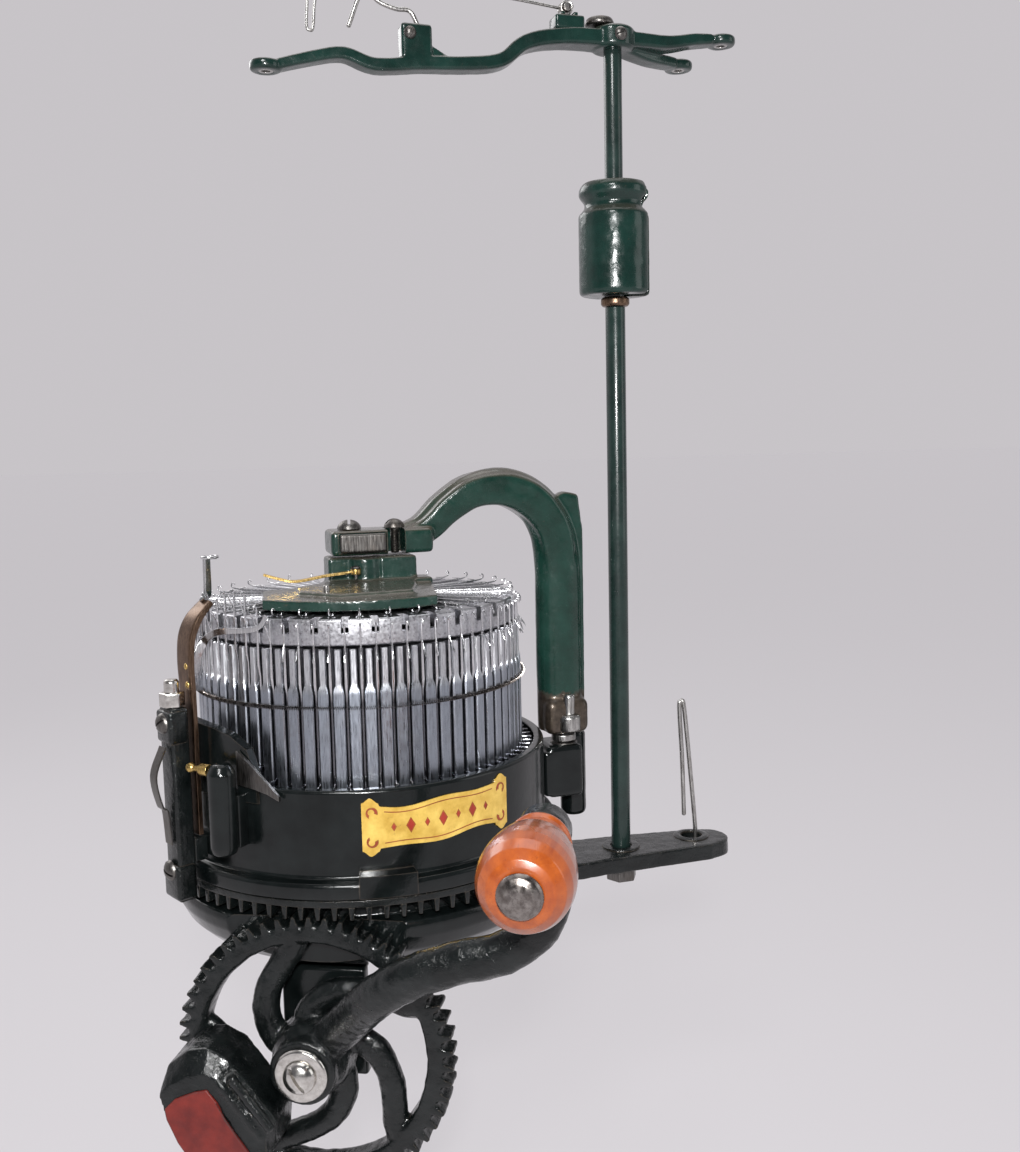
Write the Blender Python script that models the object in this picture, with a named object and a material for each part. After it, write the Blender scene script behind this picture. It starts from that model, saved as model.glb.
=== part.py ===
"""Circular sock-knitting machine with rib attachment, as separate named pieces.

Lengths are written in millimetres and turned into metres when a mesh is made.
Machine coordinates: the needle cylinder's axis is x = y = 0, the table top is z = 0,
+X runs along the base bar from the cylinder to the mast, +Z is up.  The finished
pieces are shifted so that the origin lies on the bar's flat underside.
"""
import math

import bmesh
import bpy
from mathutils import Matrix, Vector

MM = 0.001
GAP = 0.3
WELD = 0.002

# frame: the flat of the pad under the bar is the origin
SEAT_X = 116.0

# base
BAR_THICK = 7.0
BAR_LIFT = 0.5
BAR_END_X = 145.0
BAR_HOLE_X = 131.0
BAR_HOLE_R = 4.0
BASE_BORE_R = 46.0
BASE_SEAT_Z = 23.7

# mast
MAST_X = 100.0
LOWER_ROD_R = 3.7
UPPER_ROD_R = 3.3
COLLAR_Z = 215.0
WEIGHT_Z = 218.9
WEIGHT_TOP = 259.4
HUB_Z = 306.0

# cylinder and needles
NEEDLES = 72
CYL_BORE_R = 51.5
LAND_R = 57.3
SLOT_FLOOR_R = 54.6
CYL_TOP = 103.0
SPRING_Z = 84.5

# cam drum and gearing
DRUM_TEETH = 80
WHEEL_TEETH = 54
GEAR_PITCH_R = 66.0
WHEEL_PITCH_R = GEAR_PITCH_R * WHEEL_TEETH / DRUM_TEETH
MESH_Z = 21.05
WHEEL_Z = MESH_Z - WHEEL_PITCH_R
WHEEL_AZ = -116.0
WHEEL_OUT = 66.0
CRANK_X = 77.4
CRANK_Y = 82.8
DRUM_WALL_R = 65.0
DRUM_IN_R = 61.5
DRUM_TOP = 60.0

# rib attachment
DIAL_SLOTS = 36
DIAL_R = 55.2
DIAL_BOTTOM = 103.6
DIAL_TOP = 112.3
POST_X = 76.0
FORK_Z = 127.3

# yarn carrier
CARRIER_AZ = 205.0


def clear_scene():
    """Remove what the default scene holds."""
    for obj in list(bpy.data.objects):
        bpy.data.objects.remove(obj, do_unlink=True)


def paint(name, colour, roughness, metallic):
    """A Principled material."""
    mat = bpy.data.materials.new(name)
    mat.use_nodes = True
    shader = mat.node_tree.nodes["Principled BSDF"]
    shader.inputs["Base Color"].default_value = (*colour, 1.0)
    shader.inputs["Roughness"].default_value = roughness
    shader.inputs["Metallic"].default_value = metallic
    mat.diffuse_color = (*colour, 1.0)
    return mat


def make(name, bm, colour, origin=(0.0, 0.0, 0.0), turn=None):
    """Turn a bmesh into a named object, still in machine millimetres."""
    bmesh.ops.recalc_face_normals(bm, faces=bm.faces)
    mesh = bpy.data.meshes.new(name)
    bm.to_mesh(mesh)
    bm.free()
    obj = bpy.data.objects.new(name, mesh)
    bpy.context.collection.objects.link(obj)
    obj.location = origin
    if turn is not None:
        obj.rotation_euler = turn.to_euler()
    mat = paint(name, *colour)
    mesh.materials.append(mat)
    return obj


def combine(target, tool, operation="UNION"):
    """Bake a Boolean of two objects into the first and remove the second."""
    mod = target.modifiers.new("combine", "BOOLEAN")
    mod.object = tool
    mod.operation = operation
    bpy.context.view_layer.update()
    graph = bpy.context.evaluated_depsgraph_get()
    mesh = bpy.data.meshes.new_from_object(target.evaluated_get(graph))
    target.modifiers.clear()
    old = target.data
    target.data = mesh
    mesh.name = target.name
    bpy.data.objects.remove(tool, do_unlink=True)
    bpy.data.meshes.remove(old)
    bm = bmesh.new()
    bm.from_mesh(mesh)
    bmesh.ops.remove_doubles(bm, verts=bm.verts, dist=WELD)
    bmesh.ops.dissolve_degenerate(bm, edges=bm.edges, dist=WELD)
    bm.to_mesh(mesh)
    bm.free()
    return target


def union(target, *tools):
    """Join pieces cast in one."""
    for tool in tools:
        combine(target, tool)
    return target


def cut(target, *tools):
    """Take pieces away."""
    for tool in tools:
        combine(target, tool, "DIFFERENCE")
    return target


def polar(radius, azimuth, height=0.0):
    """A point in machine coordinates from a radius, an azimuth in degrees and a height."""
    angle = math.radians(azimuth)
    return Vector((radius * math.cos(angle), radius * math.sin(angle), height))


def lathe(profile, steps=48):
    """Turn a closed (radius, z) outline about Z; radius 0 points make poles."""
    bm = bmesh.new()
    rings = []
    for radius, height in profile:
        if radius < 1e-6:
            rings.append([bm.verts.new((0.0, 0.0, height))])
            continue
        ring = []
        for i in range(steps):
            angle = 2.0 * math.pi * i / steps
            ring.append(bm.verts.new((radius * math.cos(angle), radius * math.sin(angle), height)))
        rings.append(ring)
    for a, b in zip(rings, rings[1:] + rings[:1]):
        if len(a) == 1 and len(b) == 1:
            continue
        for i in range(steps):
            j = (i + 1) % steps
            if len(a) == 1:
                bm.faces.new((a[0], b[j], b[i]))
            elif len(b) == 1:
                bm.faces.new((a[i], a[j], b[0]))
            else:
                bm.faces.new((a[i], a[j], b[j], b[i]))
    return bm


def rod(radius, z0, z1, steps=20):
    """A plain cylinder along Z."""
    return lathe([(0.0, z0), (radius, z0), (radius, z1), (0.0, z1)], steps)


def dome_screw(radius, height, shank_r, shank, steps=14):
    """A round-head screw, head up from z = 0, shank below."""
    profile = [(0.0, -shank), (shank_r, -shank), (shank_r, 0.0), (radius, 0.0)]
    for angle in (math.radians(30.0), math.radians(62.0)):
        profile.append((radius * math.cos(angle), height * math.sin(angle)))
    profile.append((0.0, height))
    return lathe(profile, steps)


def box(x0, x1, y0, y1, z0, z1, bevel=0.0):
    """A box, with its edges broken when bevel is given."""
    bm = bmesh.new()
    bmesh.ops.create_cube(bm, size=1.0)
    bmesh.ops.scale(bm, vec=(x1 - x0, y1 - y0, z1 - z0), verts=bm.verts)
    bmesh.ops.translate(bm, vec=((x0 + x1) / 2, (y0 + y1) / 2, (z0 + z1) / 2), verts=bm.verts)
    if bevel:
        bmesh.ops.bevel(bm, geom=list(bm.edges), offset=bevel, segments=2, affect="EDGES", profile=0.6)
    return bm


def prism(outline, z0, z1, bevel=0.0):
    """Extrude an outline of (x, y) points from z0 to z1."""
    bm = bmesh.new()
    low = [bm.verts.new((x, y, z0)) for x, y in outline]
    high = [bm.verts.new((x, y, z1)) for x, y in outline]
    count = len(outline)
    bm.faces.new(list(reversed(low)))
    bm.faces.new(high)
    for i in range(count):
        j = (i + 1) % count
        bm.faces.new((low[i], low[j], high[j], high[i]))
    if bevel:
        rim = [e for e in bm.edges if abs(e.verts[0].co.z - e.verts[1].co.z) < 1e-6]
        bmesh.ops.bevel(bm, geom=rim, offset=bevel, segments=2, affect="EDGES", profile=0.5)
    return bm


def arc(radius, start, end, steps, centre=(0.0, 0.0)):
    """Points on an arc, angles in degrees."""
    points = []
    for i in range(steps + 1):
        angle = math.radians(start + (end - start) * i / steps)
        points.append((centre[0] + radius * math.cos(angle), centre[1] + radius * math.sin(angle)))
    return points


def smooth(points, per_span=4):
    """Catmull-Rom curve through the given points."""
    pts = [Vector(p) for p in points]
    ends = [pts[0] * 2 - pts[1], *pts, pts[-1] * 2 - pts[-2]]
    out = []
    for i in range(1, len(ends) - 2):
        a, b, c, d = ends[i - 1:i + 3]
        for k in range(per_span):
            t = k / per_span
            out.append(0.5 * ((2 * b) + (c - a) * t + (2 * a - 5 * b + 4 * c - d) * t * t
                              + (3 * b - a - 3 * c + d) * t * t * t))
    out.append(pts[-1])
    return out


def sweep(path, sizes, side=(0.0, 1.0, 0.0), sides=8, square=False):
    """Carry a section along a path.

    sizes holds (half width along side, half depth) at the first, ..., last path point and is
    spread evenly along the path; square gives a four-sided section with broken corners.
    """
    bm = bmesh.new()
    side = Vector(side)
    count = len(path)
    rings = []
    for i, point in enumerate(path):
        ahead = path[min(i + 1, count - 1)] - path[max(i - 1, 0)]
        ahead.normalize()
        across = (side - ahead * side.dot(ahead)).normalized()
        depth = ahead.cross(across)
        place = i / (count - 1) * (len(sizes) - 1)
        low = min(int(place), len(sizes) - 2)
        mix = place - low
        wide = sizes[low][0] * (1 - mix) + sizes[low + 1][0] * mix
        deep = sizes[low][1] * (1 - mix) + sizes[low + 1][1] * mix
        ring = []
        for u, v in section(sides, square):
            ring.append(bm.verts.new(point + across * (u * wide) + depth * (v * deep)))
        rings.append(ring)
    for a, b in zip(rings, rings[1:]):
        for i in range(len(a)):
            j = (i + 1) % len(a)
            bm.faces.new((a[i], a[j], b[j], b[i]))
    bm.faces.new(list(reversed(rings[0])))
    bm.faces.new(rings[-1])
    return bm


def section(sides, square):
    """Unit section of a sweep: a round one, or a square one with broken corners."""
    if square:
        k = 0.72
        return [(1, -k), (1, k), (k, 1), (-k, 1), (-1, k), (-1, -k), (-k, -1), (k, -1)]
    return [(math.cos(2 * math.pi * i / sides), math.sin(2 * math.pi * i / sides)) for i in range(sides)]


def wire(path, radius, sides=8):
    """A round wire along a path."""
    return sweep(path, [(radius, radius), (radius, radius)], (0.31, 0.83, 0.47), sides)


def slotted_ring(count, inner_r, levels, floor_r, floor_width):
    """A ring with equal radial slots; levels holds (z, outer radius, slot width at the rim)."""
    bm = bmesh.new()
    outer = []
    for height, radius, width in levels:
        ring = []
        for i in range(count):
            mid = 2.0 * math.pi * i / count
            at_rim = width / 2 / radius
            at_floor = floor_width / 2 / floor_r
            for r, angle in ((radius, mid - at_rim), (floor_r, mid - at_floor),
                             (floor_r, mid + at_floor), (radius, mid + at_rim)):
                ring.append(bm.verts.new((r * math.cos(angle), r * math.sin(angle), height)))
        outer.append(ring)
    inner = []
    for height in (levels[0][0], levels[-1][0]):
        ring = []
        for i in range(count):
            angle = 2.0 * math.pi * i / count
            ring.append(bm.verts.new((inner_r * math.cos(angle), inner_r * math.sin(angle), height)))
        inner.append(ring)
    size = 4 * count
    for a, b in zip(outer, outer[1:]):
        for i in range(size):
            j = (i + 1) % size
            bm.faces.new((a[i], a[j], b[j], b[i]))
    for i in range(count):
        j = (i + 1) % count
        bm.faces.new((inner[0][j], inner[0][i], inner[1][i], inner[1][j]))
        for ring, hub in ((outer[0], inner[0]), (outer[-1], inner[1])):
            bm.faces.new((hub[i], *ring[4 * i:4 * i + 4], ring[(4 * i + 4) % size], hub[j]))
    return bm


def spoked_ring(count, radii, half, z0, z1):
    """A flat ring with straight bars standing out; radii holds the bore, the root and the tips."""
    bm = bmesh.new()
    levels = []
    for height in (z0, z1):
        level = []
        for i in range(count):
            turn = Matrix.Rotation(2.0 * math.pi * i / count, 4, "Z")
            corners = [(radius, side, height) for radius in radii for side in (-half, half)]
            level.append([bm.verts.new(turn @ Vector(corner)) for corner in corners])
        levels.append(level)
    low, high = levels
    for i in range(count):
        j = (i + 1) % count
        for level in levels:
            one, two = level[i], level[j]
            bm.faces.new((one[0], one[1], one[3], one[2]))
            bm.faces.new((one[2], one[3], one[5], one[4]))
            bm.faces.new((one[1], two[0], two[2], one[3]))
        for p, q in ((0, 1), (2, 4), (4, 5), (5, 3)):
            bm.faces.new((low[i][p], low[i][q], high[i][q], high[i][p]))
        for p, q in ((1, 0), (3, 2)):
            bm.faces.new((low[i][p], low[j][q], high[j][q], high[i][p]))
    return bm


def crown_teeth(count, inner_r, outer_r, top, root, tip, tip_share, root_share):
    """A flat ring whose underside carries radial teeth pointing down."""
    bm = bmesh.new()
    pitch = 2.0 * math.pi / count
    angles = []
    for i in range(count):
        mid = pitch * i
        angles += [(mid - pitch * root_share / 2, root), (mid - pitch * tip_share / 2, tip),
                   (mid + pitch * tip_share / 2, tip), (mid + pitch * root_share / 2, root)]
    low, high = {}, {}
    for key, radius in (("in", inner_r), ("out", outer_r)):
        low[key] = [bm.verts.new((radius * math.cos(a), radius * math.sin(a), z)) for a, z in angles]
        high[key] = [bm.verts.new((*polar(radius, math.degrees(angles[4 * i][0]))[:2], top)) for i in range(count)]
    size = len(angles)
    for i in range(size):
        j = (i + 1) % size
        bm.faces.new((low["in"][i], low["in"][j], low["out"][j], low["out"][i]))
    for i in range(count):
        j = (i + 1) % count
        bm.faces.new((high["in"][i], high["out"][i], high["out"][j], high["in"][j]))
        for key in ("in", "out"):
            foot = [low[key][(4 * i + k) % size] for k in range(5)]
            bm.faces.new((*foot, high[key][j], high[key][i]))
    return bm


def curved_plate(columns, r0, r1):
    """A plate bent to a cylinder; each column is (azimuth in degrees, low z, high z)."""
    bm = bmesh.new()
    rings = []
    for azimuth, low, high in columns:
        corners = ((r0, low), (r1, low), (r1, high), (r0, high))
        rings.append([bm.verts.new(polar(r, azimuth, z)) for r, z in corners])
    for one, two in zip(rings, rings[1:]):
        for i in range(4):
            j = (i + 1) % 4
            bm.faces.new((one[i], one[j], two[j], two[i]))
    bm.faces.new(rings[0])
    bm.faces.new(list(reversed(rings[-1])))
    return bm


def band(start, end, low, high, steps):
    """Columns of an even band between two azimuths."""
    return [(start + (end - start) * i / steps, low, high) for i in range(steps + 1)]


def moved(bm, offset=(0.0, 0.0, 0.0), turn=None):
    """Turn and shift a bmesh, both in machine millimetres."""
    if turn is not None:
        bmesh.ops.rotate(bm, cent=(0, 0, 0), matrix=turn.to_3x3(), verts=bm.verts)
    bmesh.ops.translate(bm, vec=offset, verts=bm.verts)
    return bm


JAPAN = ((0.012, 0.013, 0.013), 0.25, 0.1)
GREEN = ((0.012, 0.045, 0.035), 0.35, 0.1)
STEEL = ((0.55, 0.56, 0.58), 0.3, 1.0)
DARK_STEEL = ((0.18, 0.17, 0.16), 0.4, 0.9)
NICKEL = ((0.68, 0.67, 0.64), 0.2, 1.0)
BRASS = ((0.65, 0.45, 0.16), 0.3, 1.0)
BRONZE = ((0.20, 0.11, 0.06), 0.45, 0.7)
WOOD = ((0.52, 0.15, 0.02), 0.25, 0.0)
GOLD = ((0.75, 0.50, 0.10), 0.35, 0.5)

ALONG_Y = Matrix.Rotation(math.radians(90.0), 4, "X")


def facing(azimuth):
    """Turn local Z to point outward along an azimuth, with local Y up."""
    out = polar(1.0, azimuth)
    across = Vector((-out.y, out.x, 0.0))
    up = Vector((0.0, 0.0, 1.0))
    rows = [(across[i], up[i], out[i], 0.0) for i in range(3)]
    return Matrix((*rows, (0.0, 0.0, 0.0, 1.0)))


def screw_spots():
    """Centres of the three cylinder screws."""
    return [polar(48.8, azimuth) for azimuth in (60.0, 180.0, 300.0)]


def base_parts():
    """Base casting with its bar, mast, mast weight and hairpin bobbin pin."""
    ring = make("base_casting", lathe([
        (BASE_BORE_R, 0.0), (56.0, 0.0), (61.0, 2.5), (65.5, 7.0), (68.0, 12.0), (68.5, 15.5), (67.6, 17.8),
        (61.2, 17.8), (60.5, BASE_SEAT_Z), (BASE_BORE_R, BASE_SEAT_Z)], 48), JAPAN)
    outline = [(58.0, -15.0), (88.0, -12.5), (112.0, -11.5), (134.0, -11.0)]
    outline += arc(9.0, -60.0, 60.0, 6, (BAR_END_X - 9.0, -1.0))
    outline += [(132.0, 9.0), (112.0, 11.5), (88.0, 13.5), (58.0, 16.0)]
    union(ring, make("bar", prism(outline, BAR_LIFT, BAR_THICK, 0.8), JAPAN))
    pad = [(108.0, -9.5), (134.0, -9.0), *arc(7.0, -60.0, 60.0, 4, (BAR_END_X - 9.0, -1.0))]
    pad += [(132.0, 7.2), (108.0, 9.5)]
    union(ring, make("pad", prism(pad, 0.0, 3.0), JAPAN))
    hole = make("hole", moved(rod(BAR_HOLE_R, -5.0, 15.0, 24), (BAR_HOLE_X, 1.5, 0.0)), JAPAN)
    cut(ring, hole)
    for spot in screw_spots():
        cut(ring, make("hole", moved(rod(1.3, 14.0, 30.0, 10), spot), JAPAN))
    clear = box(-40.0, 40.0, -WHEEL_Z - 10.0, -WHEEL_Z + 40.0, -4.8, 20.0)
    cut(ring, make("wheel_flat", clear, JAPAN, polar(WHEEL_OUT, WHEEL_AZ, WHEEL_Z), facing(WHEEL_AZ)))

    make("mast_foot_nut", moved(rod(6.2, -6.0, -GAP, 6), (MAST_X, 0.0, 0.0)), DARK_STEEL)
    make("mast_lower_rod", moved(rod(LOWER_ROD_R, BAR_THICK + GAP, COLLAR_Z - GAP), (MAST_X, 0.0, 0.0)), GREEN)
    make("mast_collar", moved(lathe([
        (0.0, COLLAR_Z), (4.6, COLLAR_Z), (5.3, COLLAR_Z + 0.8), (5.3, COLLAR_Z + 2.6), (4.6, COLLAR_Z + 3.4),
        (0.0, COLLAR_Z + 3.4)], 24), (MAST_X, 0.0, 0.0)), BRASS)
    make("mast_upper_rod", moved(rod(UPPER_ROD_R, COLLAR_Z + 3.4 + GAP, HUB_Z - GAP), (MAST_X, 0.0, 0.0)), GREEN)

    low, top = WEIGHT_Z, WEIGHT_TOP
    weight = make("cast_weight", lathe([
        (3.9, low), (12.6, low), (13.4, low + 1.2), (13.4, top - 11.5), (11.0, top - 9.0), (11.0, top - 7.0),
        (13.0, top - 4.6), (13.0, top - 2.2), (11.6, top), (3.9, top)], 32), GREEN, (MAST_X, 0.0, 0.0))
    slot = make("slot", box(0.0, 20.0, -3.8, 3.8, low - 5.0, top + 5.0), GREEN, (MAST_X, 0.0, 0.0),
                Matrix.Rotation(math.radians(-28.0), 4, "Z"))
    cut(weight, slot)

    pin = smooth([(133.5, 2.6, 0.5), (133.4, 2.8, 10.0), (132.2, 4.0, 30.0), (129.9, 5.2, 58.5), (128.9, 5.9, 60.8),
                  (128.2, 6.0, 58.5), (129.0, 5.4, 38.0), (129.6, 5.1, 14.4)], 3)
    make("bobbin_pin", wire(pin, 0.95, 6), STEEL)


def top_bracket_parts():
    """Yarn bracket on the mast with its guides and take-up."""
    hub_top = HUB_Z + 8.0
    hub = make("top_bracket", moved(lathe([
        (0.0, HUB_Z), (7.0, HUB_Z), (8.0, HUB_Z + 1.0), (8.0, hub_top - 1.0), (6.5, hub_top), (0.0, hub_top)],
        24), (MAST_X, 0.0, 0.0)), GREEN)
    left = smooth([(97.0, 0.0, 309.5), (80.0, 0.0, 309.0), (66.0, 0.0, 306.0), (57.0, 0.0, 299.5),
                   (45.0, 0.0, 297.5), (28.0, 0.0, 296.5), (12.0, 0.0, 295.0), (1.0, 0.0, 298.0),
                   (-10.0, 0.0, 296.0), (-21.0, 0.0, 293.0)], 1)
    union(hub, make("arm", sweep(left, [(5.5, 3.0), (4.2, 2.4), (3.6, 2.2), (3.6, 1.6)], square=True), GREEN))
    right = smooth([(103.0, 0.0, 310.0), (120.0, -1.0, 309.5), (130.0, -2.0, 311.0), (137.5, -3.0, 311.5)], 1)
    union(hub, make("arm", sweep(right, [(5.0, 2.6), (3.6, 1.7)], square=True), GREEN))
    rear = smooth([(103.0, 2.0, 308.5), (116.0, 6.0, 306.5), (128.0, 10.5, 306.5)], 2)
    union(hub, make("arm", sweep(rear, [(4.5, 2.2), (3.4, 1.7)], square=True), GREEN))
    for x, y, z in ((-25.0, 0.0, 292.5), (142.0, -3.0, 311.5), (132.0, 12.5, 306.5)):
        ring = lathe([(2.2, -1.7), (5.0, -1.7), (5.4, 0.0), (5.0, 1.7), (2.2, 1.7)], 14)
        union(hub, make("eye", moved(ring, (x, y, z)), GREEN))
    boss = box(21.0, 32.0, -3.5, 3.5, 295.0, 309.5, 1.0)
    union(hub, make("boss", boss, GREEN))
    make("bracket_set_screw", moved(dome_screw(2.4, 1.6, 1.2, 0.2, 12), (MAST_X, -8.4, 310.0), ALONG_Y), DARK_STEEL)

    hook = smooth([(28.0, 0.0, 310.6), (25.0, 0.0, 314.0), (20.0, 0.0, 314.5), (14.0, 0.0, 316.5),
                   (10.0, 0.0, 320.5), (8.0, 0.0, 319.0), (3.3, 0.0, 307.2)], 3)
    make("hook_wire", wire(hook, 0.8, 6), STEEL)
    make("hook_screw", moved(dome_screw(2.2, 1.8, 1.2, 0.2, 12), (24.0, -4.0, 306.0), ALONG_Y), DARK_STEEL)

    block = box(77.0, 88.0, -4.0, 4.0, 312.8, 316.5, 0.8)
    make("take_up_block", block, GREEN)
    pivot = (82.0, 0.0, 319.5)
    coil = make("take_up_wire", moved(lathe([(1.2, -2.0), (2.6, -2.0), (2.6, 2.0), (1.2, 2.0)], 16), (0, 0, 0),
                                      ALONG_Y), STEEL, pivot)
    out = smooth([(-1.9, 0.0, 0.0), (-20.0, 0.0, 1.8), (-45.0, 0.0, 3.6), (-70.0, 0.0, 3.8), (-86.0, 0.0, 1.5),
                  (-89.5, 0.0, -4.0), (-90.6, 0.0, -13.0), (-91.8, 0.0, -14.2), (-92.8, 0.0, -12.6),
                  (-92.2, 0.0, -4.0)], 3)
    union(coil, make("wire", wire(out, 0.55, 6), STEEL, pivot))
    union(coil, make("hub", moved(rod(1.3, -2.0, 2.0, 12), (0, 0, 0), ALONG_Y), STEEL, pivot))
    cap = lathe([(0.0, 0.0), (5.0, 0.0), (5.4, 1.0), (4.6, 2.6), (0.0, 3.4)], 20)
    make("take_up_cap", moved(cap, (95.0, 0.0, HUB_Z + 8.0 + GAP)), DARK_STEEL)


def needle_bed():
    """The slotted cylinder with its needles, spring and screws."""
    cylinder = make("cylinder", slotted_ring(NEEDLES, CYL_BORE_R, [
        (BASE_SEAT_Z + GAP, LAND_R, 1.4), (89.5, LAND_R, 1.4), (91.8, 56.8, 2.8), (CYL_TOP, 56.8, 2.8)],
        SLOT_FLOOR_R, 1.4), STEEL)
    flange_low = BASE_SEAT_Z + 2.0 * GAP
    flange_top = flange_low + 3.0
    flange = lathe([(BASE_BORE_R, flange_low), (52.6, flange_low), (52.6, flange_top),
                    (BASE_BORE_R, flange_top)], 36)
    union(cylinder, make("flange", flange, STEEL))
    for number, spot in enumerate(screw_spots(), 1):
        cut(cylinder, make("hole", moved(rod(1.3, 20.0, 30.0, 10), spot), STEEL))
        screw = moved(dome_screw(2.2, 1.5, 1.0, 8.0, 12), spot + Vector((0.0, 0.0, flange_top + GAP)))
        make("cylinder_screw_%d" % number, screw, DARK_STEEL)

    band = make("needle_ring", lathe([
        (57.6, SPRING_Z - 0.9), (58.25, SPRING_Z - 0.9), (58.25, SPRING_Z + 0.9), (57.6, SPRING_Z + 0.9)], 36),
        STEEL)
    bars = bmesh.new()
    for i in range(NEEDLES):
        one = box(55.7, 57.9, -0.45, 0.45, 44.0, 111.5)
        mesh = bpy.data.meshes.new("bar")
        moved(one, turn=Matrix.Rotation(2.0 * math.pi * i / NEEDLES, 4, "Z")).to_mesh(mesh)
        bars.from_mesh(mesh)
        one.free()
        bpy.data.meshes.remove(mesh)
    union(band, make("bars", bars, STEEL))

    coil = []
    for i in range(6):
        angle = 2.0 * math.pi * i / 6
        coil.append((59.2 + 0.6 * math.cos(angle), SPRING_Z + 0.6 * math.sin(angle)))
    make("garter_spring", lathe(coil, 60), NICKEL)


def cam_drum_parts():
    """The turning drum with its gear, cams and fittings."""
    drum = make("cam_drum", lathe([
        (DRUM_IN_R, 26.3), (69.0, 26.3), (69.0, 30.6), (68.3, 31.5), (DRUM_WALL_R, 31.8), (DRUM_WALL_R, 59.2),
        (64.4, DRUM_TOP), (DRUM_IN_R, DRUM_TOP)], 60), JAPAN)
    tab = curved_plate(band(-102.5, -87.5, 26.8, 34.2, 4), 64.0, 70.2)
    hump = [(-163.0, 55.0, 78.0), (-155.0, 55.0, 78.0), (-147.0, 55.0, 77.5), (-140.0, 55.0, 76.0),
            (-134.0, 55.0, 72.0), (-131.0, 55.0, 62.0)]
    union(drum, make("tab", tab, JAPAN), make("hump", curved_plate(hump, 62.4, 65.8), JAPAN))

    teeth = crown_teeth(DRUM_TEETH, 62.0, 69.0, 26.0, 24.0, 19.6, 0.24, 0.42)
    gap_at_wheel = math.radians(WHEEL_AZ - 180.0 / DRUM_TEETH)
    make("gear_ring", moved(teeth, turn=Matrix.Rotation(gap_at_wheel, 4, "Z")), JAPAN)

    cams = (("raising_cam", [(-164.0, 34.0, 42.0), (-157.0, 34.0, 55.0), (-150.0, 34.0, 57.0),
                             (-136.0, 34.0, 54.0), (-122.0, 34.0, 42.0)]),
            ("left_stitch_cam", [(-192.0, 36.0, 52.0), (-184.0, 36.0, 55.0), (-177.0, 40.0, 57.0),
                                 (-170.0, 44.0, 57.0)]),
            ("right_stitch_cam", [(-116.0, 44.0, 57.0), (-109.0, 40.0, 57.0), (-102.0, 36.0, 55.0),
                                  (-94.0, 36.0, 52.0)]))
    for name, columns in cams:
        make(name, curved_plate(columns, 58.9, 61.1), DARK_STEEL)

    plate = curved_plate(band(-101.5, -55.5, 40.0, 57.0, 11), DRUM_WALL_R + 0.15, DRUM_WALL_R + 0.6)
    make("name_plate", plate, GOLD)
    shield = [(-136.5, 61.0, 72.0), (-131.0, 60.2, 67.0), (-127.0, 59.0, 62.6), (-123.5, 57.0, 58.4)]
    make("shield_plate", curved_plate(shield, 66.2, 67.4), BRONZE)

    socket = make("arm_socket", box(67.6, 81.5, -9.0, 8.0, 32.1, 52.0, 1.6), JAPAN)
    foot = box(66.3, 76.0, -9.0, 8.0, 33.0, 50.0)
    union(socket, make("foot", foot, JAPAN))
    rear = moved(lathe([(0.0, 21.0), (4.2, 21.0), (5.0, 22.5), (5.0, 53.0), (4.0, 54.5), (0.0, 54.5)], 20),
                 (82.5, 6.0, 0.0))
    union(socket, make("rear", rear, JAPAN))
    cut(socket, make("hole", moved(rod(2.6, 38.0, 60.0, 16), (POST_X, -2.0, 0.0)), JAPAN))

    turn = facing(CARRIER_AZ)

    def at(radius, z, side=0.0):
        return polar(radius, CARRIER_AZ, z) + polar(side, CARRIER_AZ + 90.0)

    bar = box(-4.2, 4.2, 20.5, 84.5, 70.4, 76.6, 0.8)
    make("carrier_bar", moved(bar, turn=turn), JAPAN)
    foot = box(-4.0, 4.0, 33.0, 41.0, 66.0, 70.1, 0.4)
    make("bar_foot", moved(foot, turn=turn), JAPAN)
    for name, z in (("bar_screw_upper", 79.5), ("bar_screw_lower", 31.0)):
        make(name, moved(dome_screw(3.4, 2.6, 1.4, 0.2, 16), at(76.9, z), turn), DARK_STEEL)
    spring = [at(77.8, 72.0), at(81.5, 63.0), at(79.8, 53.0), at(78.2, 51.0), at(77.4, 40.0)]
    make("leaf_spring", sweep(spring, [(2.6, 0.35), (2.6, 0.35)], polar(1.0, CARRIER_AZ + 90.0), square=True),
         STEEL)
    make("clamp_bolt", moved(lathe([(0.0, 84.8), (3.8, 84.8), (3.8, 90.6), (2.6, 91.0), (2.6, 93.6), (0.0, 93.6)],
                                   6), at(73.8, 0.0)), NICKEL)
    post = lathe([(0.0, 40.0), (3.8, 40.0), (4.4, 42.0), (4.4, 66.0), (3.0, 68.6), (0.0, 69.2)], 20)
    make("tension_post", moved(post, polar(72.4, -138.0)), JAPAN)
    ball = [(0.0, -1.7), (1.2, -1.2), (1.7, 0.0), (1.2, 1.2), (1.0, 1.5), (1.0, 4.2), (1.9, 4.6), (1.9, 8.2),
            (0.0, 8.2)]
    reach = polar(72.4, -138.0, 66.0) + polar(12.9, -138.0 - 90.0)
    make("adjusting_pin", lathe(ball, 14), BRASS, reach, facing(-138.0 + 90.0))


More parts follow.
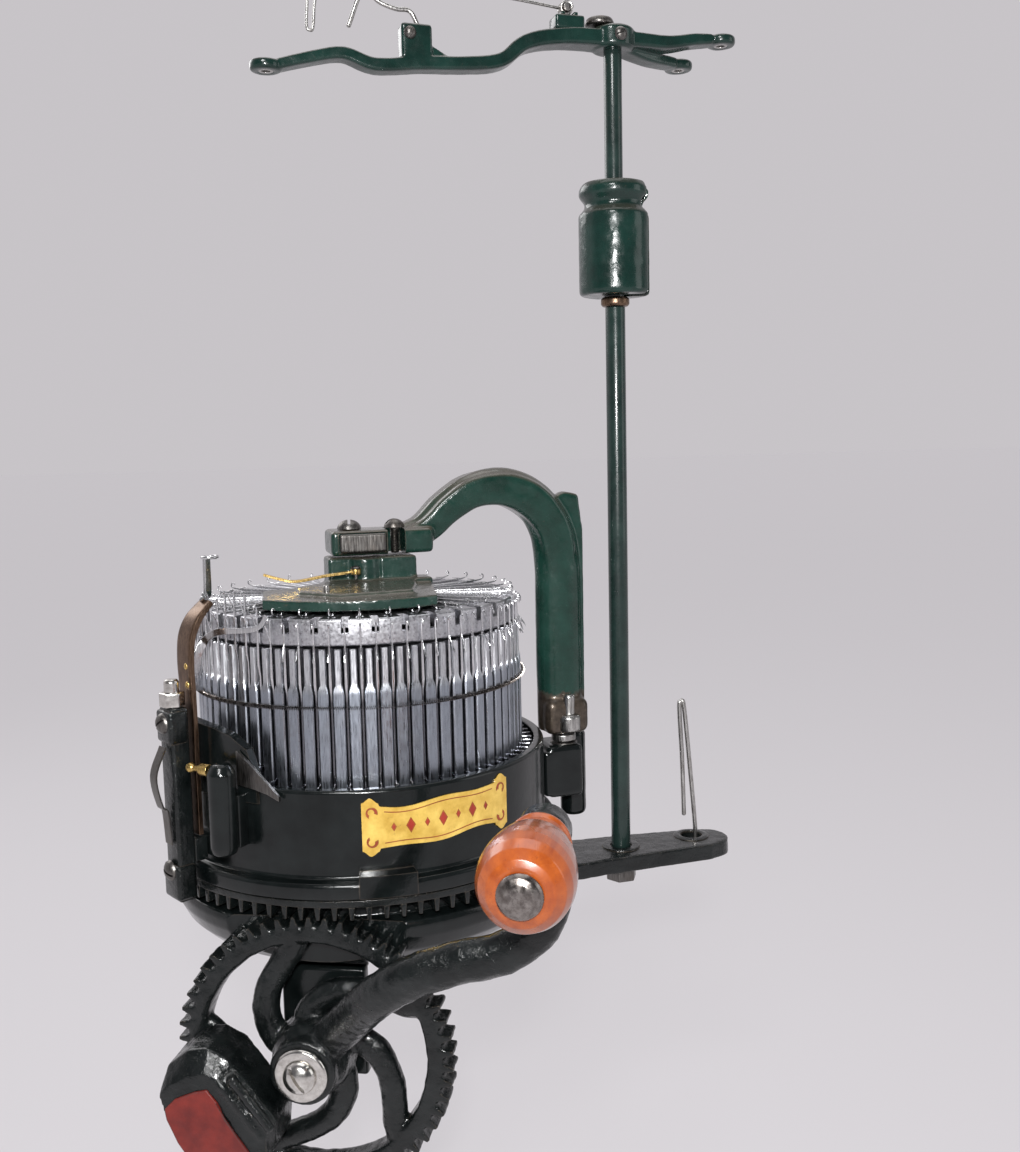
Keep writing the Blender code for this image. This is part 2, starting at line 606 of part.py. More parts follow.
def yarn_carrier_parts():
    """The carrier strip, latch guard and eye that ride on the drum."""
    side = polar(1.0, CARRIER_AZ + 90.0)

    def at(radius, z, across=0.0):
        return polar(radius, CARRIER_AZ, z) + side * across

    path = smooth([at(68.2, 41.6), at(68.2, 70.0), at(68.2, 88.0), at(68.4, 98.0), at(67.6, 106.0),
                   at(65.0, 111.6), at(62.0, 114.8), at(59.8, 116.8)], 2)
    carrier = sweep(path, [(4.4, 0.9), (4.4, 0.9), (4.4, 1.3), (3.4, 1.0)], side, square=True)
    make("yarn_carrier", carrier, BRONZE)
    guard = [polar(62.8, 204.0, 101.0), polar(61.0, 205.0, 103.5)]
    guard += [polar(60.2, az, z) for az, z in ((207.5, 106.0), (211.0, 107.4), (217.0, 108.4), (223.0, 109.2),
                                               (227.5, 110.2), (230.0, 112.4), (231.6, 116.6))]
    make("latch_guard", sweep(guard, [(1.6, 0.35), (0.8, 0.35)], (0.0, 0.0, 1.0), square=True), NICKEL)
    strip = box(-1.5, 1.5, -0.6, 0.6, 118.6, 131.0)
    eye = make("guide_strip", moved(strip, at(58.6, 0.0, -1.0), facing_up(CARRIER_AZ)), STEEL)
    loop = []
    for i in range(8):
        angle = 2.0 * math.pi * i / 8
        loop.append((2.5 + 0.6 * math.cos(angle), 0.6 * math.sin(angle)))
    union(eye, make("eye", moved(lathe(loop, 20), at(58.6, 131.2, 1.4)), STEEL))


def facing_up(azimuth):
    """Turn about Z so that local X lies across an azimuth."""
    return Matrix.Rotation(math.radians(azimuth - 90.0), 4, "Z")


def rib_arm_parts():
    """The lift-off arm with its pin, screws, cam plate and dial."""
    path = smooth([(POST_X, 0, 56.5), (POST_X, 0, 80.0), (POST_X, 0, 105.0), (75.6, 0, 120.0), (73.0, 0, 133.0),
                   (66.0, 0, 144.0), (55.0, 0, 149.8), (43.0, 0, 149.0), (33.0, 0, 143.0), (25.0, 0, 135.6),
                   (17.0, 0, 132.2), (10.0, 0, 131.8)], 2)
    arm = make("rib_arm", sweep(path, [(6.6, 8.6), (6.6, 8.8), (6.6, 8.6), (6.6, 7.8), (6.2, 6.2), (5.6, 5.0),
                                       (5.4, 4.4)], sides=12), GREEN)
    rib = prism([(76.0, 62.0), (85.0, 62.0), (85.0, 132.0), (83.4, 146.5), (78.0, 147.5), (70.0, 143.0),
                 (76.0, 132.0)], -2.4, 2.4, 0.6)
    union(arm, make("rib", moved(rib, turn=ALONG_Y), GREEN))
    lug = box(67.2, 84.8, -8.6, 6.4, 55.6, 68.5, 1.8)
    union(arm, make("lug", lug, GREEN))
    fork = box(-10.5, 26.0, -8.6, 8.6, FORK_Z, 136.4, 1.2)
    union(arm, make("fork", fork, GREEN))
    cut(arm, make("gap", box(9.4, 15.6, -12.0, 1.5, FORK_Z - 3.0, 140.0), GREEN))
    cut(arm, make("hole", moved(rod(2.6, 40.0, 64.0, 16), (POST_X, -2.0, 0.0)), GREEN))
    cut(arm, make("seat", box(-8.0, 9.0, -12.0, -7.2, FORK_Z + 1.0, 135.6), GREEN))
    make("rib_arm_pin", moved(rod(2.2, 44.0, 63.4, 14), (POST_X, -2.0, 0.0)), STEEL)
    collar = lathe([(2.5, 52.5), (4.6, 52.5), (4.6, 55.3), (2.5, 55.3)], 20)
    make("pin_collar", moved(collar, (POST_X, -2.0, 0.0)), DARK_STEEL)
    make("fork_screw_left", moved(dome_screw(4.3, 3.6, 2.0, 0.2, 20), (-3.0, -1.5, 136.7)), DARK_STEEL)
    shank = dome_screw(3.7, 3.4, 1.5, 9.0, 18)
    make("fork_screw_right", moved(shank, (12.5, -5.0, 136.7)), DARK_STEEL)
    make("clamp_plate", box(-7.6, 8.6, -10.2, -7.6, FORK_Z + 1.4, 135.2, 0.4), STEEL)

    outline = [(19.0, 6.0), (24.0, -10.0), (20.0, -30.0), (17.0, -49.0)]
    outline += arc(52.6, -75.0, -131.0, 8)
    outline += [(-38.0, -36.0), (-35.0, -13.0), (-16.0, -6.0), (-12.0, 6.0), (0.0, 11.0)]
    plate = make("rib_cam_plate", prism(list(reversed(outline)), 114.1, 118.6, 0.6), GREEN)
    union(plate, make("boss", rod(7.0, 114.5, FORK_Z - GAP, 28), GREEN),
          make("block", box(6.0, 19.5, -9.0, 7.0, 115.0, FORK_Z - GAP, 1.0), GREEN),
          make("block", box(-11.5, -3.0, -6.0, 6.0, 115.0, FORK_Z - GAP, 1.0), GREEN))
    cut(plate, make("bore", rod(4.8, 110.0, 124.0, 24), GREEN))

    lever_pivot = (-3.0, -11.9, 122.4)
    eye = make("cam_lever", lathe([(0.7, -0.9), (1.8, -0.9), (1.8, 0.9), (0.7, 0.9)], 14), BRASS, lever_pivot)
    blade = smooth([(-1.3, 0.0, 0.0), (-10.0, 0.0, -0.8), (-20.5, -0.2, -2.2), (-26.0, 0.0, -1.2),
                    (-31.5, 0.2, 0.6)], 2)
    union(eye, make("blade", sweep(blade, [(1.3, 0.7), (1.3, 0.7)], square=True), BRASS, lever_pivot))
    make("dial_stud", lathe([
        (0.0, 100.0), (4.4, 100.0), (4.4, 123.6), (0.0, 123.6)], 20), STEEL)

    dial = make("dial", lathe([
        (4.8, 108.8), (51.6, 108.8), (52.4, DIAL_BOTTOM), (54.8, DIAL_BOTTOM), (DIAL_R, 104.2), (DIAL_R, 111.8),
        (54.7, DIAL_TOP), (4.8, DIAL_TOP)], 36), STEEL)
    slots = bmesh.new()
    for i in range(DIAL_SLOTS):
        one = box(49.5, 60.0, -0.9, 0.9, 107.6, 116.0)
        mesh = bpy.data.meshes.new("slot")
        moved(one, turn=Matrix.Rotation(2.0 * math.pi * (i + 0.5) / DIAL_SLOTS, 4, "Z")).to_mesh(mesh)
        slots.from_mesh(mesh)
        one.free()
        bpy.data.meshes.remove(mesh)
    cut(dial, make("slots", slots, STEEL))
    make("dial_needles", spoked_ring(DIAL_SLOTS, (11.5, 16.0, 55.0), 0.5, 112.6, 113.7), STEEL)
    make("dial_nut", lathe([(5.3, 104.0), (9.0, 104.0), (9.0, 108.4), (5.3, 108.4)], 6), DARK_STEEL)
    make("dial_dog", box(44.0, 48.5, -2.0, 2.0, 96.0, 108.5, 0.4), DARK_STEEL)


def crank_parts():
    """The bevel crank wheel, its hanger and stud, and the handle."""
    turn = facing(WHEEL_AZ)
    centre = polar(WHEEL_OUT, WHEEL_AZ, WHEEL_Z)

    hanger = make("wheel_hanger", box(-14.0, 14.0, -13.0, -WHEEL_Z - GAP, -13.0, -8.0, 0.8), JAPAN, centre, turn)
    cut(hanger, make("hole", rod(3.3, -20.0, 0.0, 20), JAPAN, centre, turn))
    make("wheel_stud", lathe([
        (0.0, -14.5), (2.9, -14.5), (2.9, -7.6), (6.0, -7.6), (6.0, 15.6), (0.0, 15.6)], 24), STEEL, centre, turn)

    pitch = WHEEL_PITCH_R
    wheel = make("crank_wheel", slotted_ring(WHEEL_TEETH, 36.6, [
        (-4.0, pitch + 0.55, 3.7), (4.0, pitch + 0.55, 3.7)], pitch - 3.1, 2.5), JAPAN, centre, turn)
    hub = lathe([(0.0, -6.0), (12.0, -6.0), (12.5, -2.0), (12.0, 8.0), (10.2, 12.0), (10.2, 16.0),
                 (0.0, 16.0)], 20)
    hub = make("hub", hub, JAPAN, centre, turn)
    curl = ((38.0, 0.0), (34.0, 2.0), (29.5, 11.0), (25.0, 26.0), (20.0, 44.0), (15.0, 60.0), (10.5, 74.0))
    for k in range(5):
        start = 100.0 + 72.0 * k
        path = [polar(r, start + a, 0.8) for r, a in curl]
        spoke = sweep(smooth(path, 2), [(3.1, 4.0), (3.1, 4.3)], (0.0, 0.0, 1.0), 6)
        union(hub, make("spoke", spoke, JAPAN, centre, turn))
    union(wheel, hub)
    knee = smooth([(7.0, 8.0, 9.0), (16.0, 18.0, 15.5), (26.0, 30.0, 25.5), (38.0, 39.0, 29.5), (52.0, 44.5, 30.0),
                   (65.0, 48.0, 30.0), (76.0, 56.0, 29.5), (80.0, 69.0, 29.0), (78.0, 82.0, 29.0)], 2)
    arm = sweep(knee, [(5.0, 6.4), (4.8, 6.4), (4.6, 6.0), (4.4, 5.4)], (0.0, 0.0, 1.0), 8)
    boss = moved(rod(7.6, 24.6, 33.6, 20), (CRANK_X, CRANK_Y, 0.0))
    union(wheel, make("arm", arm, JAPAN, centre, turn), make("boss", boss, JAPAN, centre, turn))
    outline = [(-21.0, 5.6), (-27.7, 9.1), (-34.1, 8.2), (-40.8, 2.9), (-42.6, -2.1), (-40.6, -12.0), (-35.7, -21.7),
               (-28.0, -33.0), (-15.0, -34.0), (-8.0, -22.0), (-6.8, -13.0)]
    make("counterweight", prism(outline, 4.3, 26.0, 1.6), JAPAN, centre, turn)
    cut(wheel, make("bore", rod(6.3, -12.0, 24.0, 24), JAPAN, centre, turn))

    washer = lathe([(2.4, 16.3), (8.0, 16.3), (8.0, 17.6), (2.4, 17.6)], 24)
    make("hub_washer", washer, NICKEL, centre, turn)
    make("hub_screw", moved(dome_screw(5.0, 3.0, 2.0, 2.0, 20), (0, 0, 17.9)), NICKEL, centre, turn)

    grip = centre + turn.to_3x3() @ Vector((CRANK_X, CRANK_Y, 28.6))
    make("handle", lathe([
        (4.2, 8.4), (8.3, 8.4), (8.9, 9.6), (8.3, 11.2), (7.8, 12.6), (9.6, 17.0), (11.4, 23.0), (12.4, 29.0),
        (12.7, 34.0), (12.2, 39.0), (10.8, 42.6), (8.0, 45.4), (6.6, 45.8), (4.2, 45.8)], 24), WOOD, grip, turn)
    button = [(0.0, 5.3), (5.6, 5.3), (5.6, 8.1), (3.8, 8.1), (3.8, 46.1), (6.0, 46.1), (5.8, 46.8), (4.6, 48.0),
              (0.0, 48.8)]
    make("handle_spindle", lathe(button, 20), DARK_STEEL, grip, turn)


def to_metres():
    """Scale the finished pieces to metres and put the origin on the seat under the bar."""
    for obj in bpy.data.objects:
        obj.data.transform(Matrix.Scale(MM, 4))
        obj.data.shade_smooth()
        obj.data.set_sharp_from_angle(angle=math.radians(35.0))
        obj.location = (obj.location - Vector((SEAT_X, 0.0, 0.0))) * MM


clear_scene()
base_parts()
top_bracket_parts()
needle_bed()
cam_drum_parts()
yarn_carrier_parts()
rib_arm_parts()
crank_parts()
to_metres()
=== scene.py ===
"""Looks of a circular sock-knitting machine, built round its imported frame.

Lengths are written in millimetres in machine coordinates: the needle cylinder's axis is x = y = 0,
the table top is z = 0, +X runs to the mast, +Z is up.  emit() turns them into metres in the row frame.
"""
import math

import bmesh
import bpy
from mathutils import Matrix, Vector


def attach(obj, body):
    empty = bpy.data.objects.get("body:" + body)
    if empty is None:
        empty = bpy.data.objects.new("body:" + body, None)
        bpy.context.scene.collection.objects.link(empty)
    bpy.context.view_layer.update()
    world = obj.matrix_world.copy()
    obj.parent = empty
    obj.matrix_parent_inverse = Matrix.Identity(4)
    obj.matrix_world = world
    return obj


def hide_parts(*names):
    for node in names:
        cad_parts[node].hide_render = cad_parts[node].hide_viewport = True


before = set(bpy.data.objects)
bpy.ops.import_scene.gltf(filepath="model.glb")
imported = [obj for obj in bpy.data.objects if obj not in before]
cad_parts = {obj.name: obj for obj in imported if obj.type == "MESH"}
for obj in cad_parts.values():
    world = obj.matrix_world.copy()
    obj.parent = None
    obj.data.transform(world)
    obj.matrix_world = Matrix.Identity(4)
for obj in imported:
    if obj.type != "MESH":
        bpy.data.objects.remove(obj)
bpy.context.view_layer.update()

MM = 0.001
SEAT_X = 116
WHEEL_AZ = -116
WHEEL_OUT = 66
WHEEL_Z = -23.5
MAST_X = 100
HUB_Z = 306
CARRIER_AZ = 205
DRUM_R = 65
SPRING_Z = 84.5
NEEDLES = 72
DIAL_SLOTS = 36
DRUM_TEETH = 80
WHEEL_TEETH = 54
SPOKES = 5
CRANK_X = 77.4
CRANK_Y = 82.8
POST_AZ = -138
PLATE_AZ = -78.5
MAST = (MAST_X, 0, 0)
BOBBIN = (131, 1.5, 0)
ARM_PIN = (76, -2, 0)
LEVER = (-3, -11.9, 122.4)
FLOOR_Z = -165
CAMERA_ANGLES = (83.23, 1.23, -17.3)
UP = Vector((0, 0, 1))
ALONG_Y = Matrix.Rotation(math.radians(90), 4, "X")


# ---------------------------------------------------------------- shapes

def polar(radius, azimuth, height=0):
    """A point from a radius, an azimuth in degrees and a height."""
    angle = math.radians(azimuth)
    return Vector((radius * math.cos(angle), radius * math.sin(angle), height))


def facing(azimuth):
    """Turn local Z to point outward along an azimuth, with local Y up."""
    out = polar(1, azimuth)
    across = Vector((-out.y, out.x, 0))
    rows = [(across[i], UP[i], out[i], 0) for i in range(3)]
    return Matrix((*rows, (0, 0, 0, 1)))


def spun(degrees):
    """A turn about Z."""
    return Matrix.Rotation(math.radians(degrees), 4, "Z")


def rounded(profile, radius, steps=3):
    """Round the corners of a closed (radius, z) outline, leaving points on the axis alone."""
    out = []
    count = len(profile)
    for i, corner in enumerate(profile):
        here = Vector(corner)
        before = Vector(profile[i - 1]) - here
        after = Vector(profile[(i + 1) % count]) - here
        if here.x < 1e-6 or before.length < 1e-6 or after.length < 1e-6:
            out.append(tuple(here))
            continue
        reach = min(radius, before.length * 0.45, after.length * 0.45)
        one = here + before.normalized() * reach
        two = here + after.normalized() * reach
        for k in range(steps + 1):
            t = k / steps
            out.append(tuple(one * (1 - t) ** 2 + here * 2 * t * (1 - t) + two * t * t))
    return out


def skin(bm, rings):
    """Quads between neighbouring rings of corners."""
    for a, b in zip(rings, rings[1:]):
        for i, corner in enumerate(a):
            j = (i + 1) % len(a)
            bm.faces.new((corner, a[j], b[j], b[i]))


def lathe(profile, steps=64, soft=0.4):
    """Turn a closed (radius, z) outline about Z, its corners rounded by soft."""
    if soft:
        profile = rounded(profile, soft)
    bm = bmesh.new()
    rings = []
    for radius, height in profile:
        if radius < 1e-6:
            rings.append([bm.verts.new((0, 0, height))])
            continue
        rings.append([bm.verts.new(polar(radius, 360 * i / steps, height)) for i in range(steps)])
    for a, b in zip(rings, rings[1:] + rings[:1]):
        if len(a) == len(b):
            if len(a) > 1:
                skin(bm, [a, b])
            continue
        for i in range(steps):
            j = (i + 1) % steps
            bm.faces.new((a[0], b[j], b[i]) if len(a) == 1 else (a[i], a[j], b[0]))
    return bm


def tube(inner, outer, z0, z1, steps=64, soft=0.4):
    """A plain turned part about Z, solid when inner is 0."""
    return lathe([(inner, z0), (outer, z0), (outer, z1), (inner, z1)], steps, soft)


def box(x0, x1, y0, y1, z0, z1, bevel=0.5, segments=3):
    """A box with rounded edges."""
    bm = bmesh.new()
    bmesh.ops.create_cube(bm, size=1)
    bmesh.ops.scale(bm, vec=(x1 - x0, y1 - y0, z1 - z0), verts=bm.verts)
    bmesh.ops.translate(bm, vec=((x0 + x1) / 2, (y0 + y1) / 2, (z0 + z1) / 2), verts=bm.verts)
    return broken(bm, bevel, segments) if bevel else bm


def broken(bm, bevel, segments=3, steep=None):
    """Round every edge, or only the edges whose faces meet at more than steep radians."""
    edges = [e for e in bm.edges if steep is None or e.calc_face_angle(0) > steep]
    bmesh.ops.bevel(bm, geom=edges, offset=bevel, segments=segments, affect="EDGES", profile=0.5)
    return bm


def tapered(low_outline, high_outline, z0, z1):
    """A solid between two outlines with the same number of points."""
    bm = bmesh.new()
    low = [bm.verts.new((x, y, z0)) for x, y in low_outline]
    high = [bm.verts.new((x, y, z1)) for x, y in high_outline]
    bm.faces.new(list(reversed(low)))
    bm.faces.new(high)
    skin(bm, [low, high])
    return bm


def prism(outline, z0, z1, bevel=0, segments=3):
    """Extrude an outline of (x, y) points from z0 to z1, its rims rounded."""
    bm = tapered(outline, outline, z0, z1)
    return broken(bm, bevel, segments) if bevel else bm


def arc(radius, start, end, steps, centre=(0, 0)):
    """Points on an arc, angles in degrees."""
    points = []
    for i in range(steps + 1):
        angle = math.radians(start + (end - start) * i / steps)
        points.append((centre[0] + radius * math.cos(angle), centre[1] + radius * math.sin(angle)))
    return points


def smooth(points, per_span=6):
    """Catmull-Rom curve through the given points."""
    pts = [Vector(p) for p in points]
    ends = [pts[0] * 2 - pts[1], *pts, pts[-1] * 2 - pts[-2]]
    out = []
    for i in range(1, len(ends) - 2):
        a, b, c, d = ends[i - 1:i + 3]
        for k in range(per_span):
            t = k / per_span
            out.append(0.5 * ((2 * b) + (c - a) * t + (2 * a - 5 * b + 4 * c - d) * t * t +
                              (3 * b - a - 3 * c + d) * t * t * t))
    out.append(pts[-1])
    return out


def section(sides, square):
    """Unit section of a sweep: round, or square with rounded corners."""
    if not square:
        return [(math.cos(2 * math.pi * i / sides), math.sin(2 * math.pi * i / sides)) for i in range(sides)]
    points = []
    for x, y, start in ((1, 1, 0), (-1, 1, 90), (-1, -1, 180), (1, -1, 270)):
        points += arc(0.3, start, start + 90, 3, (0.7 * x, 0.7 * y))
    return points


def sweep(path, sizes, side=(0, 1, 0), sides=16, square=False):
    """Carry a section along a path; sizes are (half width along side, half depth) spread along it."""
    bm = bmesh.new()
    side = Vector(side)
    count = len(path)
    rings = []
    for i, point in enumerate(path):
        ahead = path[min(i + 1, count - 1)] - path[max(i - 1, 0)]
        ahead.normalize()
        across = (side - ahead * side.dot(ahead)).normalized()
        depth = ahead.cross(across)
        place = i / (count - 1) * (len(sizes) - 1)
        low = min(int(place), len(sizes) - 2)
        mix = place - low
        wide = sizes[low][0] * (1 - mix) + sizes[low + 1][0] * mix
        deep = sizes[low][1] * (1 - mix) + sizes[low + 1][1] * mix
        rings.append([bm.verts.new(point + across * (u * wide) + depth * (v * deep)) for u,
                      v in section(sides, square)])
    skin(bm, rings)
    bm.faces.new(list(reversed(rings[0])))
    bm.faces.new(rings[-1])
    return bm


def wire(path, radius, sides=12):
    """A round wire along a path, its ends drawn in to soft tips."""
    start, end = path[0], path[-1]
    first = (path[1] - start).normalized() * radius * 0.4
    last = (path[-2] - end).normalized() * radius * 0.4
    points = [start, start + first, *path[1:-1], end + last, end]
    sizes = [(radius, radius)] * len(points)
    sizes[0] = sizes[-1] = (radius * 0.6, radius * 0.6)
    return sweep(points, sizes, (0.31, 0.83, 0.47), sides)


def curved_plate(columns, r0, r1):
    """A plate bent to a cylinder; each column is (azimuth in degrees, low z, high z)."""
    bm = bmesh.new()
    rings = []
    for azimuth, low, high in columns:
        corners = ((r0, low), (r1, low), (r1, high), (r0, high))
        rings.append([bm.verts.new(polar(r, azimuth, z)) for r, z in corners])
    skin(bm, rings)
    bm.faces.new(rings[0])
    bm.faces.new(list(reversed(rings[-1])))
    return bm


def columns(points):
    """Fill in the columns of a curved plate, one a degree, between (azimuth, low, high) points."""
    out = []
    for one, two in zip(points, points[1:]):
        steps = max(1, round(abs(two[0] - one[0])))
        for k in range(steps):
            out.append(tuple(a + (b - a) * k / steps for a, b in zip(one, two)))
    out.append(points[-1])
    return out


def moved(bm, offset=(0, 0, 0), turn=None):
    """Turn and shift a bmesh."""
    if turn is not None:
        bmesh.ops.rotate(bm, cent=(0, 0, 0), matrix=turn.to_3x3(), verts=bm.verts)
    bmesh.ops.translate(bm, vec=offset, verts=bm.verts)
    return bm


def join(*parts):
    """Several closed shells in one bmesh."""
    out = bmesh.new()
    for part in parts:
        bmesh.ops.recalc_face_normals(part, faces=part.faces)
        mesh = bpy.data.meshes.new("part")
        part.to_mesh(mesh)
        part.free()
        out.from_mesh(mesh)
        bpy.data.meshes.remove(mesh)
    return out


def worked(bm, add_modifiers):
    """Run modifiers on a bmesh and give back the result."""
    mesh = bpy.data.meshes.new("work")
    bm.to_mesh(mesh)
    bm.free()
    obj = bpy.data.objects.new("work", mesh)
    bpy.context.scene.collection.objects.link(obj)
    extra = add_modifiers(obj)
    bpy.context.view_layer.update()
    graph = bpy.context.evaluated_depsgraph_get()
    made = bpy.data.meshes.new_from_object(obj.evaluated_get(graph))
    out = bmesh.new()
    out.from_mesh(made)
    for used in (obj, extra):
        if used is not None:
            bpy.data.objects.remove(used, do_unlink=True)
    for used in (made, mesh):
        bpy.data.meshes.remove(used)
    return out


def carved(bm, tool):
    """Take the tool away from a closed shape."""
    def add(obj):
        bmesh.ops.recalc_face_normals(tool, faces=tool.faces)
        cutter = bpy.data.objects.new("tool", bpy.data.meshes.new("tool"))
        tool.to_mesh(cutter.data)
        tool.free()
        bpy.context.scene.collection.objects.link(cutter)
        mod = obj.modifiers.new("carve", "BOOLEAN")
        mod.object = cutter
        mod.operation = "DIFFERENCE"
        mod.solver = "EXACT"
        return cutter
    bmesh.ops.recalc_face_normals(bm, faces=bm.faces)
    return worked(bm, add)


def cast(bm, voxel, passes=4, lumps=0):
    """Melt overlapping shells into one casting with soft inner corners."""
    def add(obj):
        mod = obj.modifiers.new("melt", "REMESH")
        mod.mode = "VOXEL"
        mod.voxel_size = voxel
        mod.adaptivity = 0
        relax = obj.modifiers.new("relax", "SMOOTH")
        relax.factor = 0.5
        relax.iterations = passes
        if lumps:
            texture = bpy.data.textures.new("lumps", "CLOUDS")
            texture.noise_scale = 5
            texture.noise_depth = 2
            mod = obj.modifiers.new("lumps", "DISPLACE")
            mod.texture = texture
            mod.strength = lumps
            mod.mid_level = 0.5
        return None
    return worked(bm, add)


def screw_head(radius, height, shank_r, shank, slot=0.9, angle=20, steps=40):
    """A round-head screw with a driver slot, head up from z = 0."""
    profile = [(0, -shank), (shank_r, -shank), (shank_r, 0), (radius * 0.96, 0), (radius, 0.25)]
    for tilt in (20, 35, 50, 65, 80):
        profile.append((radius * math.cos(math.radians(tilt)), height * math.sin(math.radians(tilt))))
    profile.append((0, height))
    cutter = box(-radius - 1, radius + 1, -slot / 2, slot / 2, height * 0.45, height + 2, 0)
    return carved(lathe(profile, steps, 0), moved(cutter, turn=spun(angle)))


def emit(name, bm, mat, body, node=None, slot=None, sharp=35):
    """Make a finished piece from a bmesh, in metres, riding on its body in place of its node.

    The slot argument is not used.
    """
    bmesh.ops.recalc_face_normals(bm, faces=bm.faces)
    bmesh.ops.translate(bm, vec=(-SEAT_X, 0, 0), verts=bm.verts)
    bmesh.ops.scale(bm, vec=(MM, MM, MM), verts=bm.verts)
    mesh = bpy.data.meshes.new(name)
    bm.to_mesh(mesh)
    bm.free()
    mesh.shade_smooth()
    mesh.set_sharp_from_angle(angle=math.radians(sharp))
    mesh.materials.append(mat)
    obj = bpy.data.objects.new(name, mesh)
    bpy.context.scene.collection.objects.link(obj)
    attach(obj, body)
    if node:
        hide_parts(node)


# ---------------------------------------------------------------- materials

class Graph:
    """A small helper round one material's node tree."""

    def __init__(self, name):
        self.mat = bpy.data.materials.new(name)
        self.mat.use_nodes = True
        self.tree = self.mat.node_tree
        self.shader = self.tree.nodes["Principled BSDF"]
        self.point = self.add("ShaderNodeTexCoord").outputs["Object"]

    def add(self, kind, **values):
        node = self.tree.nodes.new(kind)
        for key, value in values.items():
            setattr(node, key, value)
        return node

    def link(self, source, target):
        self.tree.links.new(source, target)

    def set(self, socket, value):
        if isinstance(value, bpy.types.NodeSocket):
            self.link(value, socket)
        else:
            socket.default_value = value

    def maths(self, operation, one, two=0, clamp=False):
        node = self.add("ShaderNodeMath", operation=operation, use_clamp=clamp)
        self.set(node.inputs[0], one)
        self.set(node.inputs[1], two)
        return node.outputs[0]

    def noise(self, scale, detail=4, stretch=None, rough=0.6):
        node = self.add("ShaderNodeTexNoise")
        node.inputs["Scale"].default_value = scale
        node.inputs["Detail"].default_value = detail
        node.inputs["Roughness"].default_value = rough
        point = self.point
        if stretch:
            mapping = self.add("ShaderNodeMapping")
            mapping.inputs["Scale"].default_value = stretch
            self.link(point, mapping.inputs["Vector"])
            point = mapping.outputs["Vector"]
        self.link(point, node.inputs["Vector"])
        return node.outputs["Fac"]

    def spread(self, value, low, high, to_low=0, to_high=1):
        node = self.add("ShaderNodeMapRange")
        node.clamp = True
        self.set(node.inputs["Value"], value)
        for key, number in (("From Min", low), ("From Max", high), ("To Min", to_low), ("To Max", to_high)):
            node.inputs[key].default_value = number
        return node.outputs["Result"]

    def mix(self, factor, one, two):
        node = self.add("ShaderNodeMix", data_type="RGBA")
        self.set(node.inputs[0], factor)
        self.set(node.inputs[6], (*one, 1) if isinstance(one, tuple) else one)
        self.set(node.inputs[7], (*two, 1) if isinstance(two, tuple) else two)
        return node.outputs[2]

    def edges(self, radius, gain):
        """A mask that is high along edges."""
        bevel = self.add("ShaderNodeBevel", samples=4)
        bevel.inputs["Radius"].default_value = radius
        plain = self.add("ShaderNodeNewGeometry").outputs["Normal"]
        dot = self.add("ShaderNodeVectorMath", operation="DOT_PRODUCT")
        self.link(bevel.outputs["Normal"], dot.inputs[0])
        self.link(plain, dot.inputs[1])
        return self.maths("MULTIPLY", self.maths("SUBTRACT", 1, dot.outputs["Value"]), gain)

    def height(self, low, high):
        """0 below one height and 1 above another, in machine millimetres."""
        parts = self.add("ShaderNodeSeparateXYZ")
        self.link(self.point, parts.inputs[0])
        return self.spread(parts.outputs["Z"], low * MM, high * MM)

    def radius(self, low, high):
        """0 inside one radius about the cylinder's axis and 1 outside another, in machine millimetres."""
        parts = self.add("ShaderNodeSeparateXYZ")
        self.link(self.point, parts.inputs[0])
        x = self.maths("ADD", parts.outputs["X"], SEAT_X * MM)
        squares = self.maths("ADD", self.maths("MULTIPLY", x, x),
                             self.maths("MULTIPLY", parts.outputs["Y"], parts.outputs["Y"]))
        return self.spread(self.maths("SQRT", squares), low * MM, high * MM)

    def upward(self, low, high):
        """How far a surface faces up."""
        parts = self.add("ShaderNodeSeparateXYZ")
        self.link(self.add("ShaderNodeNewGeometry").outputs["Normal"], parts.inputs[0])
        return self.spread(parts.outputs["Z"], low, high)

    def bump(self, value, distance, strength=1):
        node = self.add("ShaderNodeBump")
        node.inputs["Distance"].default_value = distance
        node.inputs["Strength"].default_value = strength
        self.link(value, node.inputs["Height"])
        self.link(node.outputs["Normal"], self.shader.inputs["Normal"])


